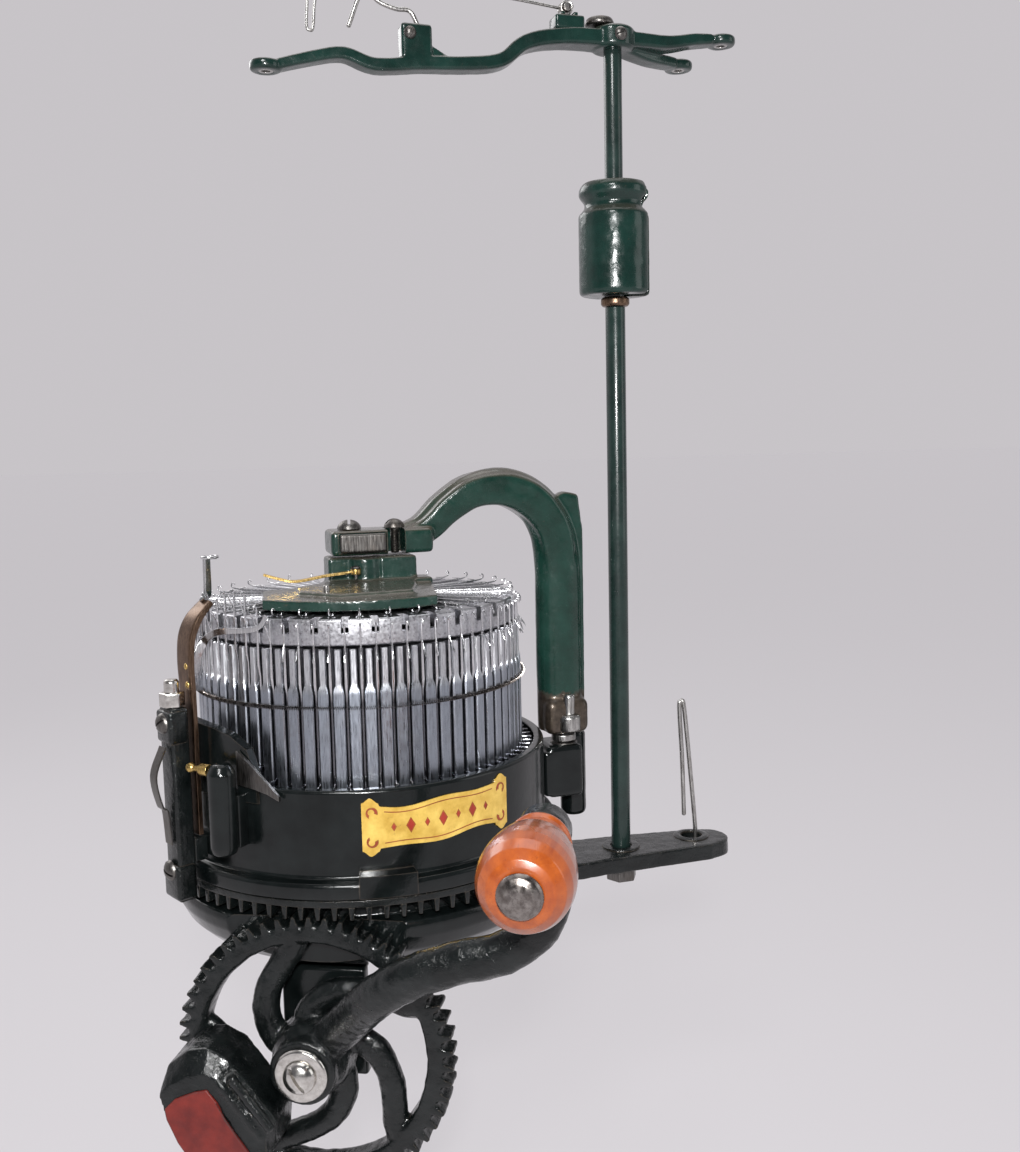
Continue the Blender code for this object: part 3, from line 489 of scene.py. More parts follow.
def paint(name, dark, light, worn, rough=(0.16, 0.34), wear=0.5, lump=0.00006, coat=0.5, bare=None, dusty=0):
    """Old brushed enamel on a casting: uneven gloss, fine lumps, metal through at the edges."""
    g = Graph(name)
    cloud = g.noise(90, 5)
    colour = g.mix(g.spread(cloud, 0.35, 0.68), dark, light)
    dust = g.noise(900, 6, rough=0.75)
    colour = g.mix(g.spread(dust, 0.62, 0.8, 0, 0.35), colour, tuple(min(1, c * 2 + 0.015) for c in light))
    if dusty:
        film = g.maths("MULTIPLY", g.upward(0.25, 0.85),
                       g.spread(g.noise(200, 5), 0.2, 0.6, dusty * 0.6, dusty))
        colour = g.mix(film, colour, (0.075, 0.060, 0.046))
    chip = g.maths("ADD", g.edges(0.0007, 5), g.spread(g.noise(420, 6), 0.3, 0.75, -wear, wear * 0.55))
    mask = g.spread(chip, 0.25, 0.5)
    if bare:
        patch = g.maths("ADD", g.height(*bare), g.spread(g.noise(250, 4), 0.3, 0.7, -0.25, 0.25))
        mask = g.maths("MAXIMUM", mask, g.maths("SUBTRACT", 1, g.spread(patch, 0.35, 0.65)))
    rust = g.mix(g.spread(g.noise(600, 5), 0.35, 0.7), worn, tuple(c * 0.45 for c in worn))
    g.link(g.mix(mask, colour, rust), g.shader.inputs["Base Color"])
    gloss = g.spread(g.noise(260, 4), 0.3, 0.7, rough[0], rough[1])
    g.link(g.maths("ADD", gloss, g.maths("MULTIPLY", mask, 0.16)), g.shader.inputs["Roughness"])
    g.link(g.maths("MULTIPLY", mask, 0.8), g.shader.inputs["Metallic"])
    g.shader.inputs["Coat Weight"].default_value = coat
    g.shader.inputs["Coat Roughness"].default_value = 0.10
    g.shader.inputs["Specular IOR Level"].default_value = 0.32
    grain = g.maths("ADD", g.noise(330, 3), g.maths("MULTIPLY", g.noise(1500, 3), 0.35))
    g.bump(grain, lump)
    return g.mat


def steel(name, dark, light, rough=(0.2, 0.4), stretch=(1, 1, 0.08), scale=2600, bump=0.000012,
          spots=(0.10, 0.07, 0.05), spotting=0.35, zone=None, well=None):
    """Machined metal: drawn grain, tarnish spots, brighter rubbed edges."""
    g = Graph(name)
    grain = g.noise(scale, 3, stretch)
    colour = g.mix(g.spread(grain, 0.3, 0.7), dark, light)
    # Below one height the colour goes over to a darker tone; on the needle shanks this is painted shade where
    # they sit down in the slots.
    if zone:
        low, high, shade = zone
        colour = g.mix(g.height(low, high), g.mix(g.spread(grain, 0.3, 0.7), shade,
                                                  tuple(c * 1.3 for c in shade)), colour)
    tarnish = g.maths("MULTIPLY", g.spread(g.noise(140, 6, rough=0.7), 0.5, 0.78), spotting)
    colour = g.mix(tarnish, colour, spots)
    rub = g.spread(g.edges(0.0004, 4), 0.15, 0.6, 0, 0.6)
    colour = g.mix(rub, colour, tuple(min(1, c * 1.25) for c in light))
    # Painted shade: inside the given radius, on the slot floors between the lands, the colour is darkened. It
    # is nearly black low down where the slots are narrow and less dark above the shoulder.
    if well:
        colour = g.mix(g.radius(*well), g.mix(g.height(86, 92), (0.012, 0.012, 0.014), (0.10, 0.10, 0.11)),
                       colour)
    g.link(colour, g.shader.inputs["Base Color"])
    g.shader.inputs["Metallic"].default_value = 1
    tone = g.spread(grain, 0.3, 0.7, rough[0], rough[1])
    g.link(g.maths("ADD", tone, g.maths("MULTIPLY", tarnish, 0.25)), g.shader.inputs["Roughness"])
    g.bump(grain, bump)
    return g.mat


def varnished_wood(name):
    """Turned hardwood under orange varnish, grain along the crank handle."""
    g = Graph(name)
    turn = g.add("ShaderNodeMapping")
    turn.inputs["Rotation"].default_value = (0, 0, math.radians(-WHEEL_AZ))
    g.link(g.point, turn.inputs["Vector"])
    g.point = turn.outputs["Vector"]
    fibre = g.noise(330, 5, (0.10, 1, 1))
    figure = g.noise(60, 3, (0.3, 1, 1))
    colour = g.mix(g.spread(fibre, 0.3, 0.7), (0.21, 0.036, 0.004), (0.38, 0.085, 0.009))
    colour = g.mix(g.spread(figure, 0.45, 0.75, 0, 0.45), colour, (0.24, 0.04, 0.005))
    pores = g.spread(g.noise(1500, 2, (0.06, 1, 1)), 0.62, 0.72, 0, 0.5)
    colour = g.mix(pores, colour, (0.16, 0.03, 0.005))
    rub = g.spread(g.edges(0.0009, 4), 0.1, 0.6, 0, 0.5)
    colour = g.mix(rub, colour, (0.46, 0.17, 0.045))
    g.link(colour, g.shader.inputs["Base Color"])
    g.link(g.spread(figure, 0.3, 0.7, 0.18, 0.34), g.shader.inputs["Roughness"])
    g.shader.inputs["Coat Weight"].default_value = 0.7
    g.shader.inputs["Coat Roughness"].default_value = 0.14
    g.bump(g.maths("SUBTRACT", fibre, pores), 0.00003)
    return g.mat


def red_paint(name):
    """Dull red paint scuffed back to iron."""
    g = Graph(name)
    colour = g.mix(g.spread(g.noise(120, 5), 0.35, 0.7), (0.105, 0.008, 0.006), (0.20, 0.018, 0.011))
    scuff = g.spread(g.noise(700, 6, rough=0.75), 0.66, 0.76)
    colour = g.mix(scuff, colour, (0.03, 0.02, 0.018))
    colour = g.mix(g.spread(g.edges(0.0008, 4), 0.1, 0.5, 0, 0.8), colour, (0.035, 0.03, 0.028))
    g.link(colour, g.shader.inputs["Base Color"])
    g.link(g.spread(g.noise(300, 4), 0.3, 0.7, 0.34, 0.6), g.shader.inputs["Roughness"])
    g.bump(g.noise(420, 5), 0.00012)
    return g.mat


def gilt(name):
    """Gold transfer under old varnish."""
    g = Graph(name)
    colour = g.mix(g.spread(g.noise(150, 5), 0.3, 0.7), (0.52, 0.30, 0.035), (0.86, 0.60, 0.14))
    stain = g.spread(g.noise(700, 6, rough=0.7), 0.6, 0.78, 0, 0.6)
    colour = g.mix(stain, colour, (0.20, 0.11, 0.03))
    g.link(colour, g.shader.inputs["Base Color"])
    g.shader.inputs["Metallic"].default_value = 0.35
    g.link(g.spread(g.noise(400, 4), 0.3, 0.7, 0.28, 0.48), g.shader.inputs["Roughness"])
    g.shader.inputs["Coat Weight"].default_value = 0.4
    g.bump(g.noise(900, 4), 0.00001)
    return g.mat


JAPAN = paint("japan_black", (0.002, 0.003, 0.003), (0.006, 0.008, 0.008), (0.10, 0.085, 0.07), (0.08, 0.26),
              0.45, 0.00009, 0.22)
ROUGH_JAPAN = paint("rough_japan", (0.002, 0.003, 0.003), (0.008, 0.010, 0.010), (0.09, 0.075, 0.06),
                    (0.10, 0.34), 0.48, 0.00045, 0.28)
GREEN = paint("green_enamel", (0.003, 0.014, 0.011), (0.006, 0.027, 0.021), (0.11, 0.085, 0.065),
              (0.15, 0.34), 0.6, 0.00010, 0.4, dusty=0.5)
ARM_GREEN = paint("arm_green", (0.004, 0.020, 0.014), (0.008, 0.037, 0.027), (0.10, 0.078, 0.060),
                  (0.15, 0.33), 0.62, 0.00012, 0.4, bare=(69, 74), dusty=0.85)
ROD_GREEN = paint("rod_green", (0.007, 0.016, 0.014), (0.014, 0.030, 0.026), (0.15, 0.12, 0.095),
                  (0.20, 0.38), 0.85, 0.00004, 0.35)
# well gives the cylinder's slot floors painted shade.
CYL_STEEL = steel("cylinder_steel", (0.50, 0.51, 0.54), (0.74, 0.75, 0.78), (0.22, 0.40),
                  zone=(88.5, 92, (0.30, 0.325, 0.37)), well=(55.4, 56.8))
# zone darkens the needle shanks below the shoulder as painted shade where they sit in the slots.
NEEDLE = steel("needle_steel", (0.58, 0.58, 0.60), (0.84, 0.84, 0.86), (0.14, 0.3), spotting=0,
               zone=(86, 91, (0.13, 0.13, 0.145)))
BRIGHT = steel("bright_steel", (0.50, 0.50, 0.51), (0.78, 0.78, 0.79), (0.14, 0.3), spotting=0.2)
WIRE = steel("wire_steel", (0.32, 0.31, 0.30), (0.60, 0.59, 0.57), (0.2, 0.38), spotting=0.6)
DARK = steel("dark_steel", (0.09, 0.085, 0.08), (0.20, 0.19, 0.18), (0.25, 0.45), spotting=0.6)
DIAL_STEEL = steel("dial_steel", (0.40, 0.40, 0.42), (0.62, 0.62, 0.65), (0.24, 0.42), (1, 1, 1), 1200)
NICKEL = steel("nickel", (0.55, 0.53, 0.50), (0.78, 0.76, 0.72), (0.12, 0.26), (1, 1, 1), 500, spotting=0.45)
BRASS = steel("brass", (0.48, 0.31, 0.09), (0.80, 0.57, 0.22), (0.2, 0.36), spots=(0.14, 0.08, 0.03),
              spotting=0.5)
BRONZE = steel("bronze", (0.10, 0.062, 0.042), (0.24, 0.16, 0.11), (0.22, 0.42), spots=(0.05, 0.03, 0.02),
               spotting=0.6)
ARM_GREEN_PLATE = paint("plate_green", (0.005, 0.021, 0.016), (0.011, 0.037, 0.028), (0.14, 0.11, 0.085),
                        (0.18, 0.38), 0.80, 0.00014, 0.35, dusty=0.8)
IRON = steel("polished_iron", (0.16, 0.14, 0.13), (0.36, 0.33, 0.31), (0.18, 0.34), (1, 1, 1), 700,
             spotting=0.5)
WOOD = varnished_wood("orange_wood")
RED = red_paint("red_paint")
GILT = gilt("gilt")
INK = paint("plate_ink", (0.22, 0.02, 0.012), (0.34, 0.035, 0.02), (0.4, 0.25, 0.06), (0.3, 0.5), 0.3,
            0.00001, 0.2)


# ---------------------------------------------------------------- pieces

def base_pieces():
    """Base ring and bar, mast, bobbin pin, wheel hanger and stud."""
    ring = lathe([
        (46, 0.2), (56, 0.2), (61, 2.6), (65.5, 7), (68, 12), (68.4, 15.5), (67.6, 17.6),
        (61.2, 17.8), (60.5, 23.7), (46, 23.7)], 192, 0.8)
    centre = polar(WHEEL_OUT, WHEEL_AZ, WHEEL_Z)
    flat = moved(box(-40, 40, -WHEEL_Z - 12, -WHEEL_Z + 40, -4.7, 20, 0), centre, facing(WHEEL_AZ))
    emit("base_ring", carved(ring, flat), JAPAN, "base", "base_casting")
    outline = [(60, -15), (88, -12.5), (112, -11.5), (134, -11)]
    outline += arc(9, -60, 60, 10, (136, -1))
    outline += [(132, 9), (112, 11.5), (88, 13.5), (60, 16)]
    hole = moved(tube(0, 4, -5, 15, 48, 0), BOBBIN)
    foot = [(108, -9.5), (134, -9), *arc(7, -60, 60, 8, (136, -1)), (132, 7.2), (108, 9.5)]
    bar = carved(cast(join(prism(outline, 0.6, 6.9), prism(foot, 0.1, 3)), 0.5, 3, 0.3), hole)
    rim = moved(lathe([(7, 6.4), (7, 7.25), (5.4, 7.6), (4.3, 7.4), (4.3, 6.4)], 48, 0.2), BOBBIN)
    pad = moved(lathe([(0, 6), (7.6, 6), (7.2, 7.6), (4.2, 7.6), (4.2, 6.2), (0, 6.2)], 48, 0.3), MAST)
    emit("base_bar", join(bar, rim, pad), ROUGH_JAPAN, "base")

    nut = prism(arc(6.2, 0, 300, 5), -6, -0.3, 0.5)
    tip = tube(0, 3, -6.4, -5, 32)
    emit("mast_foot_nut_bolt", moved(join(nut, tip), MAST), DARK, "base", "mast_foot_nut")

    for part, radius, z0, z1 in (("lower", 3.7, 6.5, 214.8), ("upper", 3.3, 218, 306.5)):
        rod = moved(tube(0, radius, z0, z1, 48), MAST)
        emit("mast_" + part, rod, ROD_GREEN, "base", "mast_%s_rod" % part)
    collar = lathe([(0, 215), (4.6, 215), (5.3, 215.8), (5.3, 217.6), (4.6, 218.4), (0, 218.4)], 48, 0.3)
    emit("mast_stop_collar", moved(collar, MAST), BRONZE, "base", "mast_collar", slot="brass")

    low, top = 218.9, 259.4
    weight = lathe([(3.9, low), (12.6, low), (13.3, low + 1.2), (13.3, top - 11.5), (11, top - 9),
                    (11, top - 7), (13, top - 4.6), (13, top - 2.2), (11.6, top), (3.9, top)], 96, 0.6)
    slot = moved(box(0, 20, -3.8, 3.8, low - 5, top + 5, 0), turn=spun(-28))
    weight = cast(carved(weight, slot), 0.55, 3, 0.25)
    emit("mast_weight", moved(weight, MAST), GREEN, "weight", "cast_weight")

    pin = smooth([(133.5, 2.6, 0.5), (133.4, 2.8, 10), (132.2, 4, 30), (129.9, 5.2, 58.5), (128.9, 5.9, 60.8),
                  (128.2, 6, 58.5), (129, 5.4, 38), (129.6, 5.1, 14.4)], 8)
    emit("hairpin", wire(pin, 0.9), WIRE, "base", "bobbin_pin")

    turn = facing(WHEEL_AZ)
    hanger = box(-14, 14, -13, 23, -13, -8, 1.2)
    collar = tube(3.2, 8.5, -15, -7.9, 48, 0.5)
    web = prism([(-14, 23), (14, 23), (8, 6), (-8, 6)], -14.6, -9, 0.8)
    emit("wheel_bracket", moved(join(hanger, collar, web), centre, turn), JAPAN, "base", "wheel_hanger")
    stud = lathe([(0, -15.4), (2.9, -15.4), (2.9, -7.6), (6, -7.6), (6, 15.6), (0, 15.6)], 48, 0.4)
    emit("wheel_axle", moved(stud, centre, turn), BRIGHT, "base", "wheel_stud")


def bracket_pieces():
    """Yarn bracket on the mast with its guides and take-up."""
    left = smooth([(97, 0, 309.5), (80, 0, 309), (66, 0, 306), (57, 0, 299.5), (45, 0, 297.5), (28, 0, 296.5),
                   (12, 0, 295), (1, 0, 298), (-10, 0, 296), (-21, 0, 293)], 5)
    right = smooth([(103, 0, 310), (120, -1, 309.5), (130, -2, 311), (137.5, -3, 311.5)], 5)
    rear = smooth([(103, 2, 308.5), (116, 6, 306.5), (128, 10.5, 306.5)], 6)
    parts = [
        moved(lathe([(0, HUB_Z), (7, HUB_Z), (8, 307), (8, 313), (6.5, 314), (0, 314)], 48), MAST),
        sweep(left, [(5.5, 3), (4.2, 2.4), (3.6, 2.2), (3.6, 1.7)], square=True),
        sweep(right, [(5, 2.6), (3.6, 1.8)], square=True),
        sweep(rear, [(4.5, 2.2), (3.4, 1.8)], square=True),
        box(21, 32, -3.5, 3.5, 295, 309.5, 1.2),
        moved(prism([(32, 296), (43, 297), (32, 303)], -1.6, 1.6, 0.4), turn=ALONG_Y),
    ]
    eyes = ((-25, 0, 292.5), (142, -3, 311.5), (132, 12.5, 306.5))
    for place in eyes:
        eye = lathe([(2.2, -1.7), (4.9, -1.7), (5.4, -0.8), (5.4, 0.8), (4.9, 1.7), (2.2, 1.7)], 40)
        parts.append(moved(eye, place))
    emit("yarn_bracket", cast(join(*parts), 0.45, 4, 0.15), GREEN, "base", "top_bracket")
    for place in eyes:
        bush = lathe([(1.5, -1.7), (2.5, -1.7), (2.7, 0), (2.5, 1.7), (1.5, 1.7)], 32, 0.3)
        emit("eyelet_%d" % round(place[0] + 30), moved(bush, place), WIRE, "base")

    emit("bracket_screw", moved(screw_head(2.4, 1.6, 1.2, 0.2, 0.6), (MAST_X, -8, 310), ALONG_Y), DARK,
         "base", "bracket_set_screw")
    hook = smooth([(28, 0, 308.6), (25, 0, 314), (20, 0, 314.5), (14, 0, 316.5), (10, 0, 320.5), (8, 0, 319),
                   (3.3, 0, 307.2)], 7)
    emit("yarn_hook", wire(hook, 0.8), WIRE, "base", "hook_wire")
    emit("hook_clamp_screw", moved(screw_head(2.2, 1.8, 1.2, 0.2, 0.6, 60), (24, -3.4, 306), ALONG_Y), DARK,
         "base", "hook_screw")
    block = join(box(77, 88, -4, 4, 311.5, 316.5, 0.9), box(79.2, 80.8, -3.4, 3.4, 315.5, 317.6, 0.4),
                 box(84, 85.6, -3.4, 3.4, 315.5, 317.6, 0.4))
    emit("take_up_seat", block, GREEN, "base", "take_up_block")
    cap = lathe([(0, 0), (5, 0), (5.4, 1), (4.6, 2.6), (2.4, 3.2), (0, 3.4)], 48, 0.5)
    emit("take_up_knob", moved(cap, (95, 0, 314.2)), DARK, "base", "take_up_cap")

    pivot = Vector((82, 0, 319.5))
    turns = []
    for i in range(97):
        angle = 2 * math.pi * i / 24
        turns.append(Vector((2.05 * math.cos(angle), -1.7 + 3.4 * i / 96, 2.05 * math.sin(angle))))
    arm = smooth([(-1.9, 0, 0), (-20, 0, 1.8), (-45, 0, 3.6), (-70, 0, 3.8), (-86, 0, 1.5), (-89.5, 0, -4),
                  (-90.6, 0, -13), (-91.8, 0, -14.2), (-92.8, 0, -12.6), (-92.2, 0, -4)], 8)
    core = moved(tube(0, 1.4, -2.4, 2.4, 24, 0.2), turn=ALONG_Y)
    take_up = join(sweep(turns, [(0.5, 0.5), (0.5, 0.5)], (0, 1, 0), 10), wire(arm, 0.55), core)
    emit("take_up_spring", moved(take_up, pivot), WIRE, "take_up", "take_up_wire")


def slotted_cylinder():
    """The needle cylinder: lands with broken edges, wider slots above the shoulder."""
    levels = [(24, 57, 1.4), (24.4, 57.3, 1.4), (88.6, 57.3, 1.4), (89.6, 57.25, 1.7), (91.4, 56.85, 2.7),
              (92.2, 56.8, 2.8), (102.6, 56.8, 2.8), (103, 56.4, 2.9)]
    floor_r, bore = 54.6, 51.5
    bm = bmesh.new()
    rings = []
    for height, radius, width in levels:
        ring = []
        for i in range(NEEDLES):
            mid = 360 * i / NEEDLES
            slot = math.degrees(width / 2 / radius)
            well = math.degrees(0.7 / floor_r)
            rest = 360 / NEEDLES - slot
            for r, angle in ((floor_r, mid - well), (floor_r, mid + well), (radius - 0.35, mid + slot),
                             (radius, mid + slot + 0.35), (radius, mid + 180 / NEEDLES),
                             (radius, mid + rest - 0.35), (radius - 0.35, mid + rest)):
                ring.append(bm.verts.new(polar(r, angle, height)))
        rings.append(ring)
    skin(bm, rings)
    size = len(rings[0])
    inner = [[bm.verts.new(polar(bore, 360 * i / size, z)) for i in range(size)] for z in (24, 103)]
    for i in range(size):
        j = (i + 1) % size
        bm.faces.new((inner[0][j], inner[0][i], inner[1][i], inner[1][j]))
        bm.faces.new((rings[0][j], rings[0][i], inner[0][i], inner[0][j]))
        bm.faces.new((rings[-1][i], rings[-1][j], inner[1][j], inner[1][i]))
    return bm


def needle_lift(index):
    """How far the raising cam holds one needle up."""
    azimuth = 360 * index / NEEDLES - 360
    if azimuth < -180:
        azimuth += 360
    heights = {-130: 1.5, -135: 5.5, -140: 9.5, -145: 10, -150: 9, -155: 6, -160: 3}
    return heights.get(round(azimuth), 0)


def latch_needle(lift, swing):
    """One latch needle standing in its slot, out along +X."""
    shank = sweep([Vector((55.5, 0, z)) for z in (44, 60, 88)] + [Vector((56.1, 0, z)) for z in (92, 102)],
                  [(0.36, 0.6), (0.36, 0.6), (0.36, 0.6), (0.46, 0.7), (0.36, 0.5)], square=True)
    stem = smooth([(56.2, 0, 101.5), (56.3, 0, 104.5), (56.3, 0, 108.6), (56.35, 0, 110), (56.7, 0, 110.9),
                   (57.25, 0, 111.1), (57.7, 0, 110.6), (57.75, 0, 109.7)], 3)
    hook = sweep(stem, [(0.32, 0.42), (0.30, 0.36), (0.26, 0.28), (0.2, 0.2)], sides=8)
    butt = box(56, 60.9, -0.42, 0.42, 57.5, 59.3, 0.25, 2)
    pivot = Vector((56.7, 0, 104.2))
    down = math.radians(swing)
    reach = Vector((math.sin(down), 0, math.cos(down)))
    path = [pivot + reach * d for d in (-0.4, 1.5, 3.2, 4.4, 5.4)]
    latch = sweep(path, [(0.16, 0.28), (0.16, 0.24), (0.2, 0.22), (0.42, 0.2), (0.25, 0.12)], sides=8)
    return moved(join(shank, hook, butt, latch), (0, 0, lift))


def needle_bed_pieces():
    """The slotted cylinder with its needles, spring and screws."""
    flange = tube(46, 52.6, 24.2, 27.3, 96, 0.3)
    emit("needle_cylinder", join(slotted_cylinder(), flange), CYL_STEEL, "base", "cylinder", sharp=30)
    for number, azimuth in enumerate((60, 180, 300), 1):
        head = moved(screw_head(2.2, 1.5, 1, 3, 0.5, 40 * number, 24), polar(48.8, azimuth, 27.4))
        emit("flange_screw_%d" % number, head, DARK, "base", "cylinder_screw_%d" % number)

    needles = []
    for i in range(NEEDLES):
        lift = needle_lift(i)
        swing = 158 - 14 * math.sin(i * 2.4) if lift < 1 else 24 + 7 * math.sin(i * 1.7)
        needles.append(moved(latch_needle(lift, swing), turn=spun(360 * i / NEEDLES)))
    emit("latch_needles", join(*needles), NEEDLE, "base", "needle_ring")

    turns, steps = 620, 8
    coil = bmesh.new()
    rings = []
    for i in range(turns * steps):
        around = 360 * i / (turns * steps)
        twist = 2 * math.pi * i / steps
        r = 58.15 + 0.5 * math.cos(twist)
        z = SPRING_Z + 0.5 * math.sin(twist)
        out = polar(1, around)
        rings.append([coil.verts.new(polar(r, around, z) + out * 0.25 * u + UP * 0.25 * v) for u,
                      v in ((1, 0), (0, 1), (-1, 0), (0, -1))])
    skin(coil, rings + rings[:1])
    emit("coil_spring", coil, IRON, "base", "garter_spring", slot="nickel", sharp=80)


def drum_pieces():
    """The turning drum with its gear, cams and fittings."""
    drum = lathe([(61.5, 26.3), (69, 26.3), (69, 30.4), (68.3, 31.4), (65.6, 31.8), (65, 32.6), (65, 59.2),
                  (64.4, 60), (61.5, 60)], 240, 0.4)
    tab = broken(curved_plate(columns([(-102.5, 26.8, 34.1), (-87.5, 26.8, 34.1)]), 64, 70.1), 0.7, 3, 0.6)
    hump = curved_plate(columns([(-163, 55, 78), (-155, 55, 78), (-147, 55, 77.5), (-140, 55, 76),
                                 (-134, 55, 72), (-131, 55, 62)]), 62.4, 65.8)
    emit("drum_shell", join(drum, tab, broken(hump, 0.4, 2, 0.6)), JAPAN, "cam_drum", "cam_drum")

    teeth = []
    for i in range(DRUM_TEETH):
        azimuth = WHEEL_AZ + 360 * (i - 0.5) / DRUM_TEETH
        tooth = prism([(-1.05, 24.6), (-0.62, 19.75), (0.62, 19.75), (1.05, 24.6)], 0, 6.8, 0.28, 2)
        teeth.append(moved(tooth, polar(62.1, azimuth), facing(azimuth)))
    ring = tube(62, 69, 23.9, 26.1, 240, 0.2)
    emit("drum_gear", join(ring, *teeth), ROUGH_JAPAN, "cam_drum", "gear_ring")

    cams = (("raising_cam", [(-164, 34, 42), (-157, 34, 55), (-150, 34, 57), (-136, 34, 54), (-122, 34, 42)]),
            ("left_stitch_cam", [(-192, 36, 52), (-184, 36, 55), (-177, 40, 57), (-170, 44, 57)]),
            ("right_stitch_cam", [(-116, 44, 57), (-109, 40, 57), (-102, 36, 55), (-94, 36, 52)]))
    for name, points in cams:
        emit(name + "_plate", curved_plate(columns(points), 58.9, 61.1), DARK, "cam_drum", name)

    shield = curved_plate(columns([(-136.5, 61, 72), (-131, 60.2, 67), (-127, 59, 62.6), (-123.5, 57, 58.4)]),
                          66.2, 67.4)
    emit("shield_wedge", shield, DARK, "cam_drum", "shield_plate", slot="bronze")
    name_plate()

    body = cast(join(box(67.6, 81.5, -9, 8, 32.1, 52, 1.8), box(66, 76, -9, 8, 33, 50, 0.8),
                     moved(lathe([(0, 21), (4.2, 21), (5, 22.5), (5, 53), (4, 54.5), (0, 54.5)], 48),
                           (82.5, 6, 0))), 0.5, 4, 0.15)
    bore = moved(tube(0, 2.6, 38, 60, 40, 0), ARM_PIN)
    lip = moved(tube(2.5, 5.2, 51.4, 52.25, 40, 0.2), ARM_PIN)
    emit("socket_block", carved(body, bore), JAPAN, "cam_drum", "arm_socket")
    emit("socket_ring", lip, DARK, "cam_drum")
    carrier_mount()


def bent(bm, radius, azimuth, height):
    """Wrap a flat shape (x along the rim, y up, z outward) on to a cylinder."""
    for vert in bm.verts:
        x, y, z = vert.co
        vert.co = polar(radius + z, azimuth + math.degrees(x / radius), height + y)
    return bm


def name_plate():
    """A gilt transfer on the drum with a plain ornament in place of words."""
    radius = DRUM_R + 0.15
    half = math.radians(23) * radius

    def centre(x):
        return 48.5 + 0.7 * math.sin(2 * math.pi * x / (2.2 * half))

    def tall(x):
        from_end = half - abs(x)
        if from_end < 5.4:
            return 8.5 - 0.8 * math.cos(2 * math.pi * from_end / 5.4)
        return 6.6 + 0.5 * math.cos(2 * math.pi * x / half)

    points = []
    for i in range(121):
        x = -half + 2 * half * i / 120
        points.append((PLATE_AZ + math.degrees(x / radius), centre(x) - tall(x), centre(x) + tall(x)))
    emit("drum_plate", curved_plate(points, radius, radius + 0.4), GILT, "cam_drum", "name_plate")

    marks = []
    for sign in (-1, 1):
        rail = []
        for i in range(97):
            x = (-half + 7) + (2 * half - 14) * i / 96
            middle = centre(x) + sign * (tall(x) - 1.5)
            rail.append((PLATE_AZ + math.degrees(x / radius), middle - 0.16, middle + 0.16))
        marks.append(curved_plate(rail, radius + 0.3, radius + 0.46))
        for level in (-1, 1):
            x0 = sign * (half - 3.2)
            curl = arc(1.9, -60, 200, 14) + list(reversed(arc(1, -60, 200, 14, (0.25, 0.25))))
            curl = [(x * sign, y * level) for x, y in curl]
            if sign * level < 0:
                curl.reverse()
            marks.append(bent(moved(prism(curl, 0.3, 0.46), (x0, level * 4.6, 0)), radius, PLATE_AZ,
                              centre(x0)))
    for i in range(-3, 4):
        x0 = i * 5.4
        size = 2.6 if i % 2 == 0 else 1.5
        diamond = [(-size * 0.6, 0), (0, -size), (size * 0.6, 0), (0, size)]
        marks.append(bent(moved(prism(diamond, 0.3, 0.46), (x0, 0, 0)), radius, PLATE_AZ, centre(x0)))
    emit("plate_ornament", join(*marks), INK, "cam_drum")


def carrier_mount():
    """The black bar, screws, spring, nut and tension post that carry the yarn guide."""
    turn = facing(CARRIER_AZ)

    def at(radius, z, side=0):
        return polar(radius, CARRIER_AZ, z) + polar(side, CARRIER_AZ + 90)

    bar = box(-4.2, 4.2, 20.6, 84.4, 70.4, 76.6, 1)
    lug_low = box(-5, 5, 21.5, 33, 71, 77.6, 1.2)
    lug_high = box(-4.8, 4.8, 73, 83.6, 71, 77.5, 1.2)
    emit("guide_bar", moved(join(bar, lug_low, lug_high), turn=turn), ROUGH_JAPAN, "cam_drum", "carrier_bar")
    emit("guide_bar_foot", moved(box(-4, 4, 33, 41, 66, 70.6, 0.4), turn=turn), JAPAN, "cam_drum", "bar_foot")
    for name, z, angle in (("bar_screw_upper", 79.5, 35), ("bar_screw_lower", 31, -20)):
        emit(name + "_head", moved(screw_head(3.4, 2.3, 1.4, 0.6, 0.8, angle), at(77.2, z), turn), DARK,
             "cam_drum", name)
    spring = smooth([at(77.8, 72), at(81.5, 63), at(79.8, 53), at(78.2, 51), at(77.4, 40)], 6)
    emit("tension_leaf", sweep(spring, [(2.2, 0.3), (2.2, 0.3)], polar(1, CARRIER_AZ + 90), square=True),
         DARK, "cam_drum", "leaf_spring", slot="steel")
    nut = prism(arc(4.1, 0, 300, 5), 84.6, 89.2, 0.35)
    stud = lathe([(0, 84), (2.4, 84), (2.4, 92.6), (1.8, 93.4), (0, 93.4)], 32, 0.3)
    emit("guide_nut", moved(join(nut, stud), at(73.8, 0)), NICKEL, "cam_drum", "clamp_bolt")
    post = lathe([(0, 40), (3.8, 40), (4.4, 42), (4.4, 66), (3, 68.6), (0, 69.2)], 48, 0.6)
    emit("tension_stem", moved(post, polar(72.4, POST_AZ)), JAPAN, "cam_drum", "tension_post")
    web = box(-3.4, 3.4, 41, 58, 64.6, 69, 0.6)
    emit("tension_web", moved(web, turn=facing(POST_AZ)), JAPAN, "cam_drum")
    ball = [(0, -1.7), (0.7, -1.55), (1.3, -1.1), (1.7, 0), (1.3, 1.1), (0.95, 1.5), (0.95, 4.2), (1.9, 4.6),
            (1.9, 8), (0, 8)]
    reach = polar(72.4, POST_AZ, 66) + polar(12.9, POST_AZ - 90)
    emit("tension_pin_rod", moved(lathe(ball, 32, 0.15), reach, facing(POST_AZ + 90)), BRASS, "tension_pin",
         "adjusting_pin")


